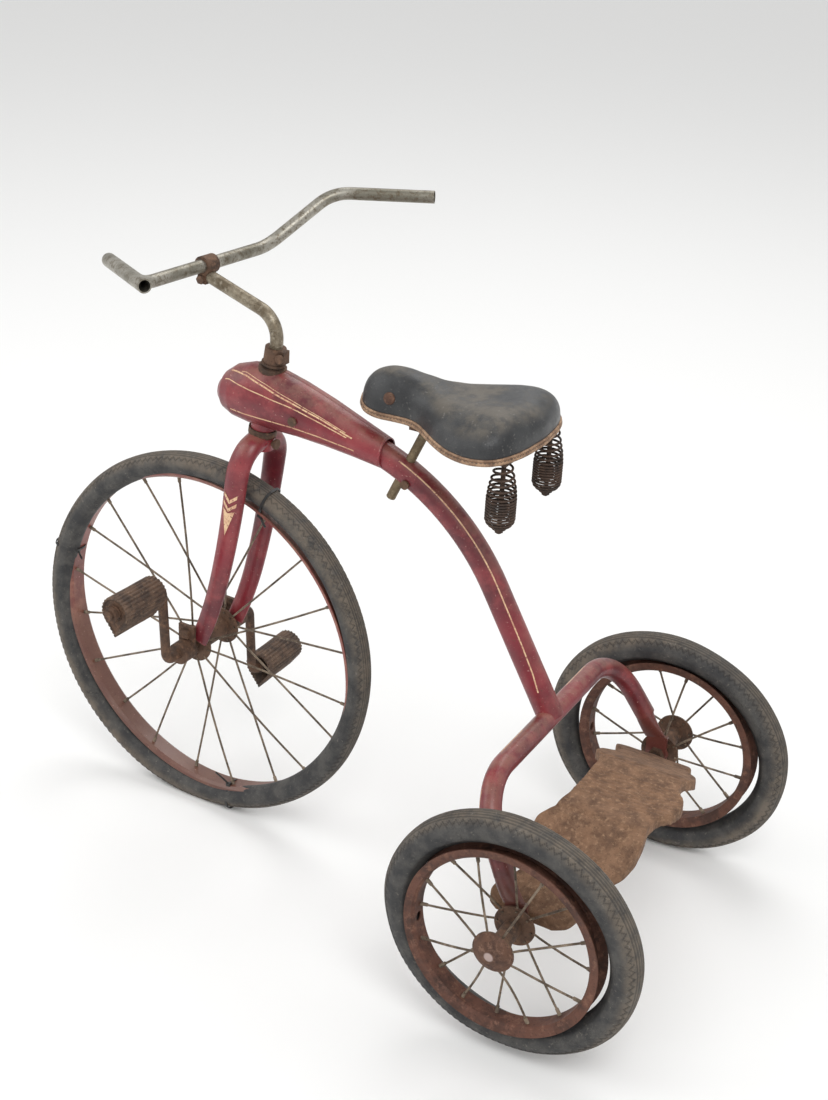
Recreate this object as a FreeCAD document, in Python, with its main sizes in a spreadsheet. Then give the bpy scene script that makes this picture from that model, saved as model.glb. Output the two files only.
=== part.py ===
"""Children's tricycle: 20 inch pedal wheel in front, two 12 inch wheels behind.

Frame of the model: millimetres, +X forward, +Y to the rider's left, +Z up,
origin on the ground at the middle of the length.  Everything is drawn with the
front fork straight; the steered parts are then turned about the steering axis
to the stored rest position.
"""
import FreeCAD
import Part
import Sketcher
import math
import os

Vector = FreeCAD.Vector
Rotation = FreeCAD.Rotation
Placement = FreeCAD.Placement

# ------------------------------------------------------------------ dimensions
DIMENSIONS = [
    ("rear_axle_x", -326.9, "rear axle ahead of the origin"),
    ("wheelbase", 558.0, "rear axle to front axle"),
    ("rear_track", 481.6, "between the planes of the rear wheels"),
    ("rear_tyre_radius", 157.3, "outside of the rear tyres"),
    ("rear_tyre_section", 38.0, "thickness of the rear tyres"),
    ("rear_rim_radius", 118.9, "lip of the rear rims"),
    ("rear_rim_depth", 11.9, "lip to floor of the rear rims"),
    ("rear_rim_width", 28.8, "over the lips of the rear rims"),
    ("front_tyre_radius", 254.0, "outside of the front tyre"),
    ("front_tyre_section", 31.0, "thickness of the front tyre"),
    ("front_rim_radius", 228.3, "lip of the front rim"),
    ("front_rim_depth", 6.9, "lip to floor of the front rim"),
    ("front_rim_width", 29.8, "over the lips of the front rim"),
    ("rim_gauge", 1.7, "sheet thickness of the rims"),
    ("tyre_grip", 0.2, "how far a tyre's foot presses into the rim floor"),
    ("spoke_diameter", 2.8, "all spokes"),
    ("axle_diameter", 11.0, "rear axle"),
    ("running_gap", 0.06, "radial clearance of running fits"),
    ("rear_hub_width", 56.0, "over the flanges of a rear hub"),
    ("rear_hub_flange", 50.0, "diameter of the rear hub flanges"),
    ("rear_hub_barrel", 22.0, "diameter of the rear hub barrel"),
    ("flange_gauge", 2.2, "thickness of the hub flanges"),
    ("hub_cap_diameter", 49.0, "domed rear hub caps"),
    ("hub_cap_height", 11.0, "height of the domes"),
    ("front_hub_width", 60.0, "over the flanges of the front hub"),
    ("front_hub_flange", 50.0, "diameter of the front hub flanges"),
    ("front_hub_barrel", 27.0, "diameter of the front hub barrel"),
    ("backbone_diameter", 32.0, "main curved tube"),
    ("rear_fork_diameter", 25.4, "inverted U at the back"),
    ("tube_wall", 1.6, "frame tubing"),
    ("head_tube_diameter", 31.0, "tube that carries the steerer"),
    ("steerer_diameter", 25.0, "steering column"),
    ("stem_diameter", 16.0, "gooseneck"),
    ("bar_diameter", 15.9, "handlebar"),
    ("bar_wall", 1.5, "handlebar tubing"),
    ("crank_diameter", 12.4, "bent crank rod"),
    ("crank_throw", 103.5, "wheel axle to pedal pin"),
    ("throw_difference", 3.5, "left arm longer, right arm shorter than crank_throw"),
    ("crank_reach", 88.0, "wheel plane to crank arm"),
    ("pin_rise", 1.9, "degrees, pedal pins bent upwards"),
    ("pedal_length", 76.0, "tread along the pin"),
    ("pedal_radius", 20.0, "round top of the pedal"),
    ("pedal_drop", 33.0, "pin to the pointed edge of the pedal"),
    ("sheet_gauge", 1.6, "pressed sheet parts"),
    ("post_diameter", 11.6, "seat post"),
    ("spring_wire", 2.7, "saddle spring wire"),
    ("deck_gauge", 2.0, "step plate"),
    ("deck_flange", 14.0, "turned-down edge of the step plate"),
    ("steer_rest", -3.3, "degrees, fork at rest"),
    ("bar_twist", -4.1, "degrees, stem turned further than the fork"),
    ("wheel_lean", -1.6, "degrees, front wheel in the bent fork"),
    ("steer_rake", 8.4, "degrees, steering axis from upright"),
]

doc = FreeCAD.newDocument("tricycle")
sheet = doc.addObject("Spreadsheet::Sheet", "dims")
for row, (alias, value, note) in enumerate(DIMENSIONS, start=1):
    sheet.set("A%d" % row, alias)
    sheet.set("B%d" % row, str(value))
    sheet.set("C%d" % row, note)
    sheet.setAlias("B%d" % row, alias)
doc.recompute()
D = {alias: float(value) for alias, value, note in DIMENSIONS}

FRONT_Z = D["front_tyre_radius"]
REAR_Z = D["rear_tyre_radius"]
HALF_TRACK = D["rear_track"] / 2
SIDES = (("left", 1), ("right", -1))
nodes = []


# ------------------------------------------------------------------ small tools
def at(x, y, z):
    """Point given from the rear axle's plane, the middle of the width and the ground."""
    return Vector(D["rear_axle_x"] + x, y, z)


def unique(name):
    return "%s_%d" % (name, len(doc.Objects))


def bind(obj, **expressions):
    """Bind properties to sheet expressions; plain numbers are set as they are."""
    for prop, value in expressions.items():
        if isinstance(value, str):
            obj.setExpression(prop, value)
        else:
            setattr(obj, prop, value)
    return obj


def facing(direction):
    """Rotation that carries +Z to a direction."""
    return Rotation(Vector(0, 0, 1), direction)


def cylinder(start, direction, radius, length):
    obj = bind(doc.addObject("Part::Cylinder", unique("rod")), Radius=radius, Height=length)
    obj.Placement = Placement(start, facing(direction))
    return obj


def box(centre, size, rotation=None):
    obj = doc.addObject("Part::Box", unique("block"))
    bind(obj, Length=size[0], Width=size[1], Height=size[2])
    turn = rotation or Rotation()
    doc.recompute()
    half = Vector(float(obj.Length) / 2, float(obj.Width) / 2, float(obj.Height) / 2)
    obj.Placement = Placement(centre - turn.multVec(half), turn)
    return obj


def sphere(centre, radius):
    obj = bind(doc.addObject("Part::Sphere", unique("ball")), Radius=radius)
    obj.Placement = Placement(centre, Rotation())
    return obj


def hexagon(start, direction, across, length, turn=0.0):
    """Hexagonal bar; across is the distance over the flats."""
    obj = bind(doc.addObject("Part::Prism", unique("hex")), Polygon=6,
               Circumradius="(%s) / 2 / cos(30)" % across, Height=length)
    obj.Placement = Placement(start, facing(direction).multiply(Rotation(Vector(0, 0, 1), turn)))
    return obj


def cut(base, *tools):
    for tool in tools:
        obj = doc.addObject("Part::Cut", unique("cut"))
        obj.Base = base
        obj.Tool = tool
        base = obj
    return base


def fuse(*shapes):
    obj = doc.addObject("Part::MultiFuse", unique("fuse"))
    obj.Shapes = list(shapes)
    return obj


def group(*shapes):
    """Several separate solids kept in one node."""
    obj = doc.addObject("Part::Compound", unique("group"))
    obj.Links = list(shapes)
    return obj


def common(base, tool):
    obj = doc.addObject("Part::Common", unique("common"))
    obj.Base = base
    obj.Tool = tool
    return obj


def rounded_path(points, radii):
    """Wire of straight runs joined by tangent arcs at the inner points."""
    edges = []
    last = points[0]
    for i in range(1, len(points) - 1):
        back = (points[i - 1] - points[i]).normalize()
        ahead = (points[i + 1] - points[i]).normalize()
        half = back.getAngle(ahead) / 2
        reach = radii[i - 1] / math.tan(half)
        start = points[i] + back * reach
        end = points[i] + ahead * reach
        middle_way = (back + ahead).normalize()
        middle = points[i] + middle_way * (radii[i - 1] / math.sin(half) - radii[i - 1])
        edges.append(Part.makeLine(last, start))
        edges.append(Part.Arc(start, middle, end).toShape())
        last = end
    edges.append(Part.makeLine(last, points[-1]))
    return Part.Wire(edges)


def sweep(wire, radius, coiled=False):
    """Round bar along a wire."""
    spine = doc.addObject("Part::Feature", unique("spine"))
    spine.Shape = wire
    first = wire.Edges[0]
    start = first.valueAt(first.FirstParameter)
    tangent = first.tangentAt(first.FirstParameter)
    section = bind(doc.addObject("Part::Circle", unique("section")), Radius=radius)
    section.Placement = Placement(start, facing(tangent))
    obj = doc.addObject("Part::Sweep", unique("sweep"))
    obj.Sections = [section]
    obj.Spine = (spine, ["Edge%d" % (i + 1) for i in range(len(wire.Edges))])
    obj.Solid = True
    obj.Frenet = coiled
    obj.Transition = "Transformed"
    return obj


def tube(wire, outer, wall):
    """Round tube, open at both ends."""
    return cut(sweep(wire, outer), sweep(wire, "(%s) - (%s)" % (outer, wall)))


def ellipse(centre, normal, along, major, minor):
    """Ellipse with its long axis along a direction; sizes may be expressions."""
    obj = bind(doc.addObject("Part::Ellipse", unique("oval")), MajorRadius=major, MinorRadius=minor)
    across = normal.cross(along).normalize()
    length_way = across.cross(normal).normalize()
    obj.Placement = Placement(centre, Rotation(length_way, across, normal, "ZXY"))
    return obj


def loft(sections):
    obj = doc.addObject("Part::Loft", unique("loft"))
    obj.Sections = sections
    obj.Solid = True
    return obj


def extrude(wire, direction, length):
    """Prism on a closed flat wire."""
    outline = doc.addObject("Part::Feature", unique("outline"))
    outline.Shape = wire
    obj = doc.addObject("Part::Extrusion", unique("prism"))
    obj.Base = outline
    obj.DirMode = "Custom"
    obj.Dir = direction
    obj.Solid = True
    bind(obj, LengthFwd=length)
    return obj


def polygon(points):
    return Part.makePolygon(points + [points[0]])


def ring(centre, profile):
    """PartDesign revolution about the wheel's axle of a closed (radius, offset) profile.

    Each corner is a pair of sheet expressions; offset is measured along +Y.
    """
    body = doc.addObject("PartDesign::Body", unique("ring"))
    plane = [f for f in body.Origin.OriginFeatures if f.Role == "XY_Plane"][0]
    sketch = body.newObject("Sketcher::SketchObject", unique("profile"))
    sketch.AttachmentSupport = [(plane, "")]
    sketch.MapMode = "FlatFace"
    lines = len(profile)
    for i in range(lines):
        a = [evaluate(part) for part in profile[i]]
        b = [evaluate(part) for part in profile[(i + 1) % lines]]
        sketch.addGeometry(Part.LineSegment(Vector(a[0], a[1], 0), Vector(b[0], b[1], 0)), False)
    for i in range(lines):
        sketch.addConstraint(Sketcher.Constraint("Coincident", i, 2, (i + 1) % lines, 1))
    for i, corner in enumerate(profile):
        for kind, part in zip(("DistanceX", "DistanceY"), corner):
            index = sketch.addConstraint(Sketcher.Constraint(kind, -1, 1, i, 1, evaluate(part)))
            if isinstance(part, str):
                sketch.setExpression("Constraints[%d]" % index, part)
    turned = body.newObject("PartDesign::Revolution", unique("turned"))
    turned.Profile = sketch
    turned.ReferenceAxis = (sketch, ["V_Axis"])
    turned.Angle = 360.0
    body.Tip = turned
    body.Placement = Placement(centre, Rotation())
    return body


def evaluate(expression):
    """Value of a number or of a sheet expression."""
    if isinstance(expression, str):
        return float(sheet.evalExpression(expression))
    return float(expression)


def node(name, obj, placement=None):
    """Name a finished sub-part; a placement is applied on top of its own."""
    if placement is not None:
        if not obj.Placement.isIdentity():
            obj = group(obj)
        obj.Placement = placement
    obj.Label = name
    nodes.append((name, obj))
    return obj


def steered(angle):
    """Turn about the steering axis, in degrees; positive is to the left."""
    return Placement(Vector(), Rotation(STEER_AXIS, angle), STEER_POINT)


# ------------------------------------------------------------------ main lines
RAKE = math.radians(D["steer_rake"])
STEER_AXIS = Vector(-math.sin(RAKE), 0, math.cos(RAKE))
STEER_POINT = at(463.4, 0, 672)
FRONT_CENTRE = at(D["wheelbase"], 0, FRONT_Z)
Y = Vector(0, 1, 0)
X = Vector(1, 0, 0)
Z = Vector(0, 0, 1)
FORK_TURN = steered(D["steer_rest"])
WHEEL_LEAN = Placement(Vector(), Rotation(X, D["wheel_lean"]), FRONT_CENTRE)
WHEEL_TURN = FORK_TURN.multiply(WHEEL_LEAN)
STEM_TURN = steered(D["steer_rest"] + D["bar_twist"])


def on_steering_axis(height):
    """Point of the steering axis at a height above the ground."""
    return STEER_POINT + STEER_AXIS * ((height - STEER_POINT.z) / STEER_AXIS.z)


# ------------------------------------------------------------------ wheels
def rim(centre, kind):
    """Channel rim, open outwards for the tyre."""
    lip = "dims.%s_rim_radius" % kind
    floor = "%s - dims.%s_rim_depth" % (lip, kind)
    half = "dims.%s_rim_width / 2" % kind
    gauge = "dims.rim_gauge"
    outside = [(lip, half), ("%s + 3" % floor, "%s - 0.8" % half), (floor, "%s - 4.5" % half)]
    inside = [("%s + %s" % (floor, gauge), "%s - 5.2" % half),
              ("%s + 3.8" % floor, "%s - 0.8 - %s" % (half, gauge)), (lip, "%s - %s" % (half, gauge))]
    profile = outside + [(r, "-(%s)" % y) for r, y in reversed(outside)]
    profile += [(r, "-(%s)" % y) for r, y in reversed(inside)] + inside
    return ring(centre, profile)


def tyre(centre, kind, base):
    """Round rubber ring with a flat-footed base that sits in the rim."""
    section = "dims.%s_tyre_section / 2" % kind
    round_part = doc.addObject("Part::Torus", unique("tyre"))
    bind(round_part, Radius1="dims.%s_tyre_radius - %s" % (kind, section), Radius2=section)
    round_part.Placement = Placement(centre, facing(Y))
    if not base:
        return round_part
    foot_bottom = "dims.%s_rim_radius - dims.%s_rim_depth + dims.rim_gauge - dims.tyre_grip" % (kind, kind)
    foot_top = "dims.%s_tyre_radius - %s" % (kind, section)
    foot = ring(centre, [(foot_bottom, -8), (foot_top, -8), (foot_top, 8), (foot_bottom, 8)])
    return fuse(round_part, foot)


def hub(centre, kind, bore):
    """Barrel with two round spoke flanges and a bore for the axle."""
    half = "dims.%s_hub_width / 2" % kind
    flange = "dims.%s_hub_flange / 2" % kind
    barrel = "dims.%s_hub_barrel / 2" % kind
    inner = "%s - dims.flange_gauge" % half
    right = [(bore, half), (flange, half), (flange, inner), (barrel, "%s - 2" % inner)]
    left = [(r, "-(%s)" % y) for r, y in reversed(right)]
    return ring(centre, right + left)


def spokes(centre, kind, count, rim_spread, first, near_first):
    """Spokes laced by turns to the two hub flanges; first is the first one's angle in degrees."""
    hub_reach = D["%s_hub_flange" % kind] / 2 - 3.5
    rim_reach = D["%s_rim_radius" % kind] - D["%s_rim_depth" % kind] + 0.8
    hub_side = D["%s_hub_width" % kind] / 2 - D["flange_gauge"] / 2
    rods = []
    for i in range(count):
        angle = math.radians(first) + 2 * math.pi * i / count
        out = Vector(math.cos(angle), 0, math.sin(angle))
        side = near_first if i % 2 == 0 else -near_first
        start = centre + out * hub_reach + Y * (side * hub_side)
        end = centre + out * rim_reach + Y * (side * rim_spread)
        way = end - start
        rods.append(cylinder(start, way, "dims.spoke_diameter / 2", way.Length))
    return group(*rods)


VALVE_ANGLE = math.radians(-7)
VALVE_RADIUS = 5.8


def rear_wheel(side, sign):
    centre = at(0, sign * HALF_TRACK, REAR_Z)
    valve_way = Vector(math.cos(VALVE_ANGLE), 0, math.sin(VALVE_ANGLE))
    valve = cylinder(centre + valve_way * 95, valve_way, VALVE_RADIUS, 20)
    node("rear_%s_rim" % side, cut(rim(centre, "rear"), valve))
    node("rear_%s_tyre" % side, tyre(centre, "rear", True))
    node("rear_%s_hub" % side, hub(centre, "rear", "dims.axle_diameter / 2 + dims.running_gap"))
    node("rear_%s_spokes" % side, spokes(centre, "rear", 16, 3.0, 1, -1))
    node("rear_%s_hub_cap" % side, hub_cap(centre, sign))


def hub_cap(centre, sign):
    """Hollow dome pressed over the outer flange."""
    radius = D["hub_cap_diameter"] / 2
    height = D["hub_cap_height"]
    ball = (radius ** 2 + height ** 2) / (2 * height)
    mouth = D["rear_hub_width"] / 2
    middle = centre + Y * (sign * (mouth + height - ball))
    keep = cylinder(centre + Y * (sign * mouth), Y * sign, "dims.hub_cap_diameter / 2",
                    "dims.hub_cap_height + 1")
    gauge = D["sheet_gauge"]
    shell = cut(sphere(middle, ball), sphere(middle, ball - gauge))
    return common(shell, keep)


STRAP_ANGLES = (66.5, 164, 280)


def front_wheel():
    node("front_rim", rim(FRONT_CENTRE, "front"), WHEEL_TURN)
    node("front_tyre", tyre(FRONT_CENTRE, "front", False), WHEEL_TURN)
    node("front_hub", hub(FRONT_CENTRE, "front", "dims.crank_diameter / 2"), WHEEL_TURN)
    node("front_spokes", spokes(FRONT_CENTRE, "front", 20, 4.0, 7, 1), WHEEL_TURN)
    straps = []
    for angle in STRAP_ANGLES:
        turn = math.radians(angle)
        out = Vector(-math.cos(turn), 0, math.sin(turn))
        straps.append(tyre_strap(out))
    node("tyre_straps", group(*straps), WHEEL_TURN)


def tyre_strap(out):
    """Narrow band wrapped round tyre and rim, as a rectangular loop with a gap inside."""
    section = D["front_tyre_section"]
    inside = D["front_rim_radius"] - D["front_rim_depth"] - 0.6
    depth = D["front_tyre_radius"] + 0.6 - inside
    middle = FRONT_CENTRE + out * (inside + depth / 2)
    turn = facing(out)
    outer = box(middle, (4.0, section + 4.4, depth + 3.2), turn)
    inner = box(middle, (6.0, section + 1.2, depth), turn)
    return cut(outer, inner)


# ------------------------------------------------------------------ cranks and pedals
CRANK_ANGLE = math.radians(87.3)
THROW = Vector(math.cos(CRANK_ANGLE), 0, math.sin(CRANK_ANGLE))
PEDAL_START = 14.0
PEDAL_END = PEDAL_START + D["pedal_length"]


def pin_corner(sign):
    """Where the arm's line meets the pedal pin's line."""
    throw = D["crank_throw"] + sign * D["throw_difference"]
    return FRONT_CENTRE + THROW * (sign * throw) + Y * (sign * D["crank_reach"])


def pin_turn(sign):
    """Placement of everything on a pedal pin, which is drawn square to the wheel first."""
    rise = Placement(Vector(), Rotation(X, sign * D["pin_rise"]), pin_corner(sign))
    return WHEEL_TURN.multiply(rise)


def crank(side, sign):
    """Bent rod: half of the wheel's axle, the arm and the pedal pin."""
    corner = pin_corner(sign)
    along_pin = Rotation(X, sign * D["pin_rise"]).multVec(Y * sign)
    path = rounded_path([FRONT_CENTRE, FRONT_CENTRE + Y * (sign * D["crank_reach"]), corner,
                         corner + along_pin * (PEDAL_END + 12)], [13, 13])
    node("crank_%s" % side, sweep(path, "dims.crank_diameter / 2"), WHEEL_TURN)


def teardrop(centre, grow):
    """Pedal outline across the pin: round on top, drawn to a point below."""
    radius = D["pedal_radius"] + grow
    drop = D["pedal_drop"] + 2.2 * grow
    spread = math.acos(radius / drop)
    points = []
    for turn in (spread, math.pi, -spread):
        points.append(centre + Vector(math.sin(turn), 0, -math.cos(turn)) * radius)
    tip = centre - Z * drop
    arc = Part.Arc(points[0], points[1], points[2]).toShape()
    return Part.Wire([arc, Part.makeLine(points[2], tip), Part.makeLine(tip, points[0])])


def pedal(side, sign):
    inner = pin_corner(sign) + Y * (sign * PEDAL_START)
    outward = Y * sign
    gauge = D["sheet_gauge"]
    skin = extrude(teardrop(inner, 0), outward, "dims.pedal_length")
    hollow = extrude(teardrop(inner, -gauge), outward, "dims.pedal_length")
    node("pedal_%s_tread" % side, cut(skin, hollow), pin_turn(sign))
    plate_start = inner + outward * (D["pedal_length"] - gauge - 1)
    plate = extrude(teardrop(plate_start, -gauge - 0.1), outward, "dims.sheet_gauge")
    hole = cylinder(plate_start - outward * 5, outward, "dims.crank_diameter / 2 + 2.6", 20)
    node("pedal_%s_end_plate" % side, cut(plate, hole), pin_turn(sign))
    sleeve = cut(cylinder(inner, outward, "dims.crank_diameter / 2 + 2.5", "dims.pedal_length"),
                 cylinder(inner - outward, outward, "dims.crank_diameter / 2 + dims.running_gap",
                          "dims.pedal_length + 2"))
    node("pedal_%s_sleeve" % side, sleeve, pin_turn(sign))


def pedal_nuts():
    pairs = []
    for side, sign in SIDES:
        outward = Y * sign
        start = pin_corner(sign) + outward * (PEDAL_END + 0.8)
        bore = cylinder(start - outward, outward, "dims.crank_diameter / 2", 20)
        washer = cylinder(start, outward, 11.0, 1.8)
        nut = hexagon(start + outward * 1.8, outward, "dims.crank_diameter + 6", 6.5)
        pair = group(cut(washer, bore), cut(nut, bore))
        pair.Placement = pin_turn(sign)
        pairs.append(pair)
    node("pedal_nuts", group(*pairs))


# ------------------------------------------------------------------ front fork
# height, forward place, sideways place, half width fore and aft, half thickness
BLADE_STATIONS = [
    (551, 481.5, 8, 15.5, 12.0),
    (545, 482.5, 24, 15.5, 11.5),
    (531, 485.0, 35, 15.5, 10.0),
    (508, 489.0, 38.5, 15.5, 9.5),
    (455, 496.0, 38.5, 14.5, 9.0),
    (400, 505.5, 38.5, 13.5, 8.5),
    (345, 517.5, 38.5, 12.8, 8.0),
    (300, 531.0, 38.5, 12.4, 6.5),
    (266, 544.5, 38.8, 12.2, 3.4),
]


def blade_sections(sign, first, last, narrower, shift, thicker):
    """Ovals square to the blade's run, for its skin or for its hollow."""
    sections = []
    places = [at(x, sign * y, z) for z, x, y, a, b in BLADE_STATIONS]
    for i in range(first, last + 1):
        z, x, y, a, b = BLADE_STATIONS[i]
        before = places[max(i - 1, 0)]
        after = places[min(i + 1, len(places) - 1)]
        normal = (before - after).normalize()
        inward = normal.cross(X).normalize()
        inward = inward * (-1 if inward.y * sign > 0 else 1)
        centre = places[i] + inward * shift
        sections.append(ellipse(centre, normal, X, a - narrower, min(b + thicker, a - narrower)))
    return sections


def fork():
    neck_bottom = on_steering_axis(541)
    neck = cylinder(neck_bottom, STEER_AXIS, 16.8, 16)
    bore = cylinder(on_steering_axis(530), STEER_AXIS, "dims.steerer_diameter / 2", 40)
    node("fork_crown", cut(neck, bore), FORK_TURN)
    steerer = cylinder(on_steering_axis(544), STEER_AXIS, "dims.steerer_diameter / 2", 110)
    hollow = cylinder(on_steering_axis(540), STEER_AXIS, "dims.stem_diameter / 2 + dims.running_gap", 130)
    node("steerer_tube", cut(steerer, hollow), FORK_TURN)
    for side, sign in SIDES:
        skin = loft(blade_sections(sign, 0, len(BLADE_STATIONS) - 1, 0, 0, 0))
        hollow = loft(blade_sections(sign, 3, 7, 2.2, 5.0, 3.0))
        clear = cylinder(on_steering_axis(525), STEER_AXIS, 16.8, 45)
        cup_room = cylinder(on_steering_axis(558.5), STEER_AXIS, 18.0, 15)
        middle = box(at(480, 0, 545), (60, 6.0, 60))
        node("fork_blade_%s" % side, cut(skin, hollow, clear, cup_room, middle), FORK_TURN)
        bearing_block(side, sign)
    bolt = cylinder(on_steering_axis(549) - X * 22, X, 3.5, 8)
    head = cylinder(on_steering_axis(549) - X * 24, X, 6.5, 3)
    return cut(fuse(bolt, head), cylinder(on_steering_axis(525), STEER_AXIS, 16.8, 45))


def bearing_block(side, sign):
    """Housing bolted outside the blade's end; the crank rod turns in it."""
    outward = Y * sign
    start = FRONT_CENTRE + outward * 34.5
    barrel = cylinder(start, outward, 14.5, 30)
    lug = box(start + outward * 10.5 + Z * 17, (24, 5, 34))
    bore = cylinder(start - outward, outward, "dims.crank_diameter / 2 + dims.running_gap", 40)
    blade_end = box(start + outward * 4 + Z * 20, (40, 8.2, 60))
    hole = cylinder(start - outward + Z * 23, outward, 3.5, 40)
    node("bearing_block_%s" % side, cut(fuse(barrel, lug), bore, blade_end, hole), WHEEL_TURN)


def bearing_bolts():
    parts = []
    for side, sign in SIDES:
        outward = Y * sign
        start = FRONT_CENTRE + outward * 44 + Z * 23
        shank = cylinder(start, outward, 3.4, 4)
        head = box(start + outward * 5.9, (11, 4.8, 11))
        parts.append(fuse(shank, head))
    bolts = group(*parts)
    bolts.Placement = WHEEL_TURN
    return bolts


# ------------------------------------------------------------------ headset, stem and bar
BAR_CENTRE = at(573, 0, 749)
STEM_CORNER = on_steering_axis(707)
STEM_END = at(568, 0, 735)


HEAD_TUBE_LENGTH = 76


def headset():
    """Pressed cups in the head tube; the steerer turns in them."""
    bore = cylinder(on_steering_axis(540), STEER_AXIS, "dims.steerer_diameter / 2 + dims.running_gap", 130)
    lower = cylinder(on_steering_axis(559.5), STEER_AXIS, 17.6, 7.5)
    upper = cylinder(on_steering_axis(567) + STEER_AXIS * HEAD_TUBE_LENGTH, STEER_AXIS, 17.0, 6.5)
    skirt = cylinder(on_steering_axis(651), STEER_AXIS, 14.5, 3)
    node("lower_headset_cup", cut(lower, bore))
    node("upper_headset_cup", cut(upper, bore))
    node("headset_race", cut(cylinder(on_steering_axis(558.2) - STEER_AXIS * 1.2, STEER_AXIS, 15.5, 1.8),
                             cylinder(on_steering_axis(540), STEER_AXIS, "dims.steerer_diameter / 2", 130)),
         FORK_TURN)
    node("stem_collar", cut(fuse(cylinder(on_steering_axis(653), STEER_AXIS, 12.9, 20), skirt,
                                 box(on_steering_axis(663) - X * 13, (8, 12, 16))),
                            cylinder(on_steering_axis(600), STEER_AXIS, "dims.steerer_diameter / 2", 55),
                            cylinder(on_steering_axis(600), STEER_AXIS,
                                     "dims.stem_diameter / 2 + dims.running_gap", 130)), FORK_TURN)
    bolt_start = on_steering_axis(663) - X * 13.5 + Y * 6
    bolt = fuse(cylinder(bolt_start, Y, 3.2, 2), cylinder(bolt_start + Y * 2, Y, 5.5, 3.5))
    return cut(bolt, cylinder(on_steering_axis(640), STEER_AXIS, 13.0, 50))


def stem():
    """Gooseneck with the split clamp that grips the bar."""
    path = rounded_path([on_steering_axis(620), STEM_CORNER, STEM_END], [34])
    rod = sweep(path, "dims.stem_diameter / 2")
    down = Vector(0.06, 0, -1).normalize()
    lug_place = BAR_CENTRE + down * 15
    ring_hole = cylinder(BAR_CENTRE - Y * 20, Y, 11.6, 40)
    lug_hole = box(lug_place, (13, 18, 14), facing(down))
    node("gooseneck_stem", cut(rod, ring_hole, lug_hole), STEM_TURN)
    outer = cylinder(BAR_CENTRE - Y * 10, Y, 11.6, 20)
    lug = box(lug_place, (13, 18, 14), facing(down))
    bore = cylinder(BAR_CENTRE - Y * 20, Y, "dims.bar_diameter / 2 + dims.running_gap", 40)
    split = box(BAR_CENTRE + down * 17, (20, 2.2, 20), facing(down))
    node("bar_clamp", cut(fuse(outer, lug), bore, split), STEM_TURN)
    bolt_start = BAR_CENTRE + down * 17 - Y * 12.5
    shank = cylinder(bolt_start, Y, 2.9, 23)
    head = cylinder(bolt_start, Y, 5.2, 3.5)
    nut = hexagon(bolt_start + Y * 21.5, Y, "10", 3.5)
    node("bar_clamp_bolt", cut(fuse(shank, head, nut), box(lug_place, (13, 18, 14), facing(down))),
         STEM_TURN)


def handlebar():
    right = [at(429.5, -260, 813.8), at(543.7, -201, 806.3), at(573, -110.5, 749)]
    left = [Vector(p.x, -p.y, p.z) for p in reversed(right)]
    path = rounded_path(right + left, [48, 60, 60, 48])
    node("handlebar", tube(path, "dims.bar_diameter / 2", "dims.bar_wall"), STEM_TURN)


# ------------------------------------------------------------------ frame
HEAD_CENTRE = on_steering_axis(608)
BONE_CORNER = at(221.9, 0, 560.8)
BONE_END = at(68.2, 0, 295.4)
POST_TOP = at(252.5, 0, 628)
POST_END = at(298.9, 0, 522)
POST_AXIS = (POST_TOP - POST_END).normalize()

# forward place, height of the middle, half width, half height
SHELL_STATIONS = [
    (540.5, 602, 3, 4.5),
    (538.0, 602.5, 11, 14),
    (531.0, 604, 19, 24),
    (516.0, 607, 26, 33.5),
    (492.0, 609.5, 30, 39.5),
    (462.0, 609, 31, 40.0),
    (425.0, 604, 29.0, 34.6),
    (385.0, 596, 26.0, 29.4),
    (345.0, 586, 22.5, 23.6),
    (306.5, 576, 19.0, 19.2),
]


def bone_path():
    return rounded_path([HEAD_CENTRE, BONE_CORNER, BONE_END], [293])


def shell_loft(thinner):
    ovals = []
    for x, z, half_width, half_height in SHELL_STATIONS:
        if half_width - thinner < 1:
            continue
        long_way, short_way = half_height - thinner, half_width - thinner
        ovals.append(ellipse(at(x, 0, z), X, Z, long_way, short_way))
    return loft(ovals)


def head_shell():
    gauge = D["sheet_gauge"]
    for side, sign in SIDES:
        skin = cut(shell_loft(0), shell_loft(gauge))
        half = box(at(420, sign * 30.05, 600), (300, 60, 140))
        top_hole = cylinder(on_steering_axis(630), STEER_AXIS, 17.3, 60)
        low_hole = cylinder(on_steering_axis(520), STEER_AXIS, 17.9, 60)
        tail_hole = sweep(bone_path(), "dims.backbone_diameter / 2 + dims.running_gap")
        screw_hole = cylinder(at(420, sign * 20, 598), Y * sign, 2.5, 20)
        node("head_shell_%s" % side, cut(common(skin, half), top_hole, low_hole, tail_hole, screw_hole))
    parts = []
    for side, sign in SIDES:
        face = at(420, sign * 29.4, 598)
        parts.append(fuse(cylinder(face - Y * (sign * 9.5), Y * sign, 2.4, 10),
                          cylinder(face - Y * (sign * 0.2), Y * sign, 5.6, 2.2)))
    node("shell_screws", group(*parts))


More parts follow.
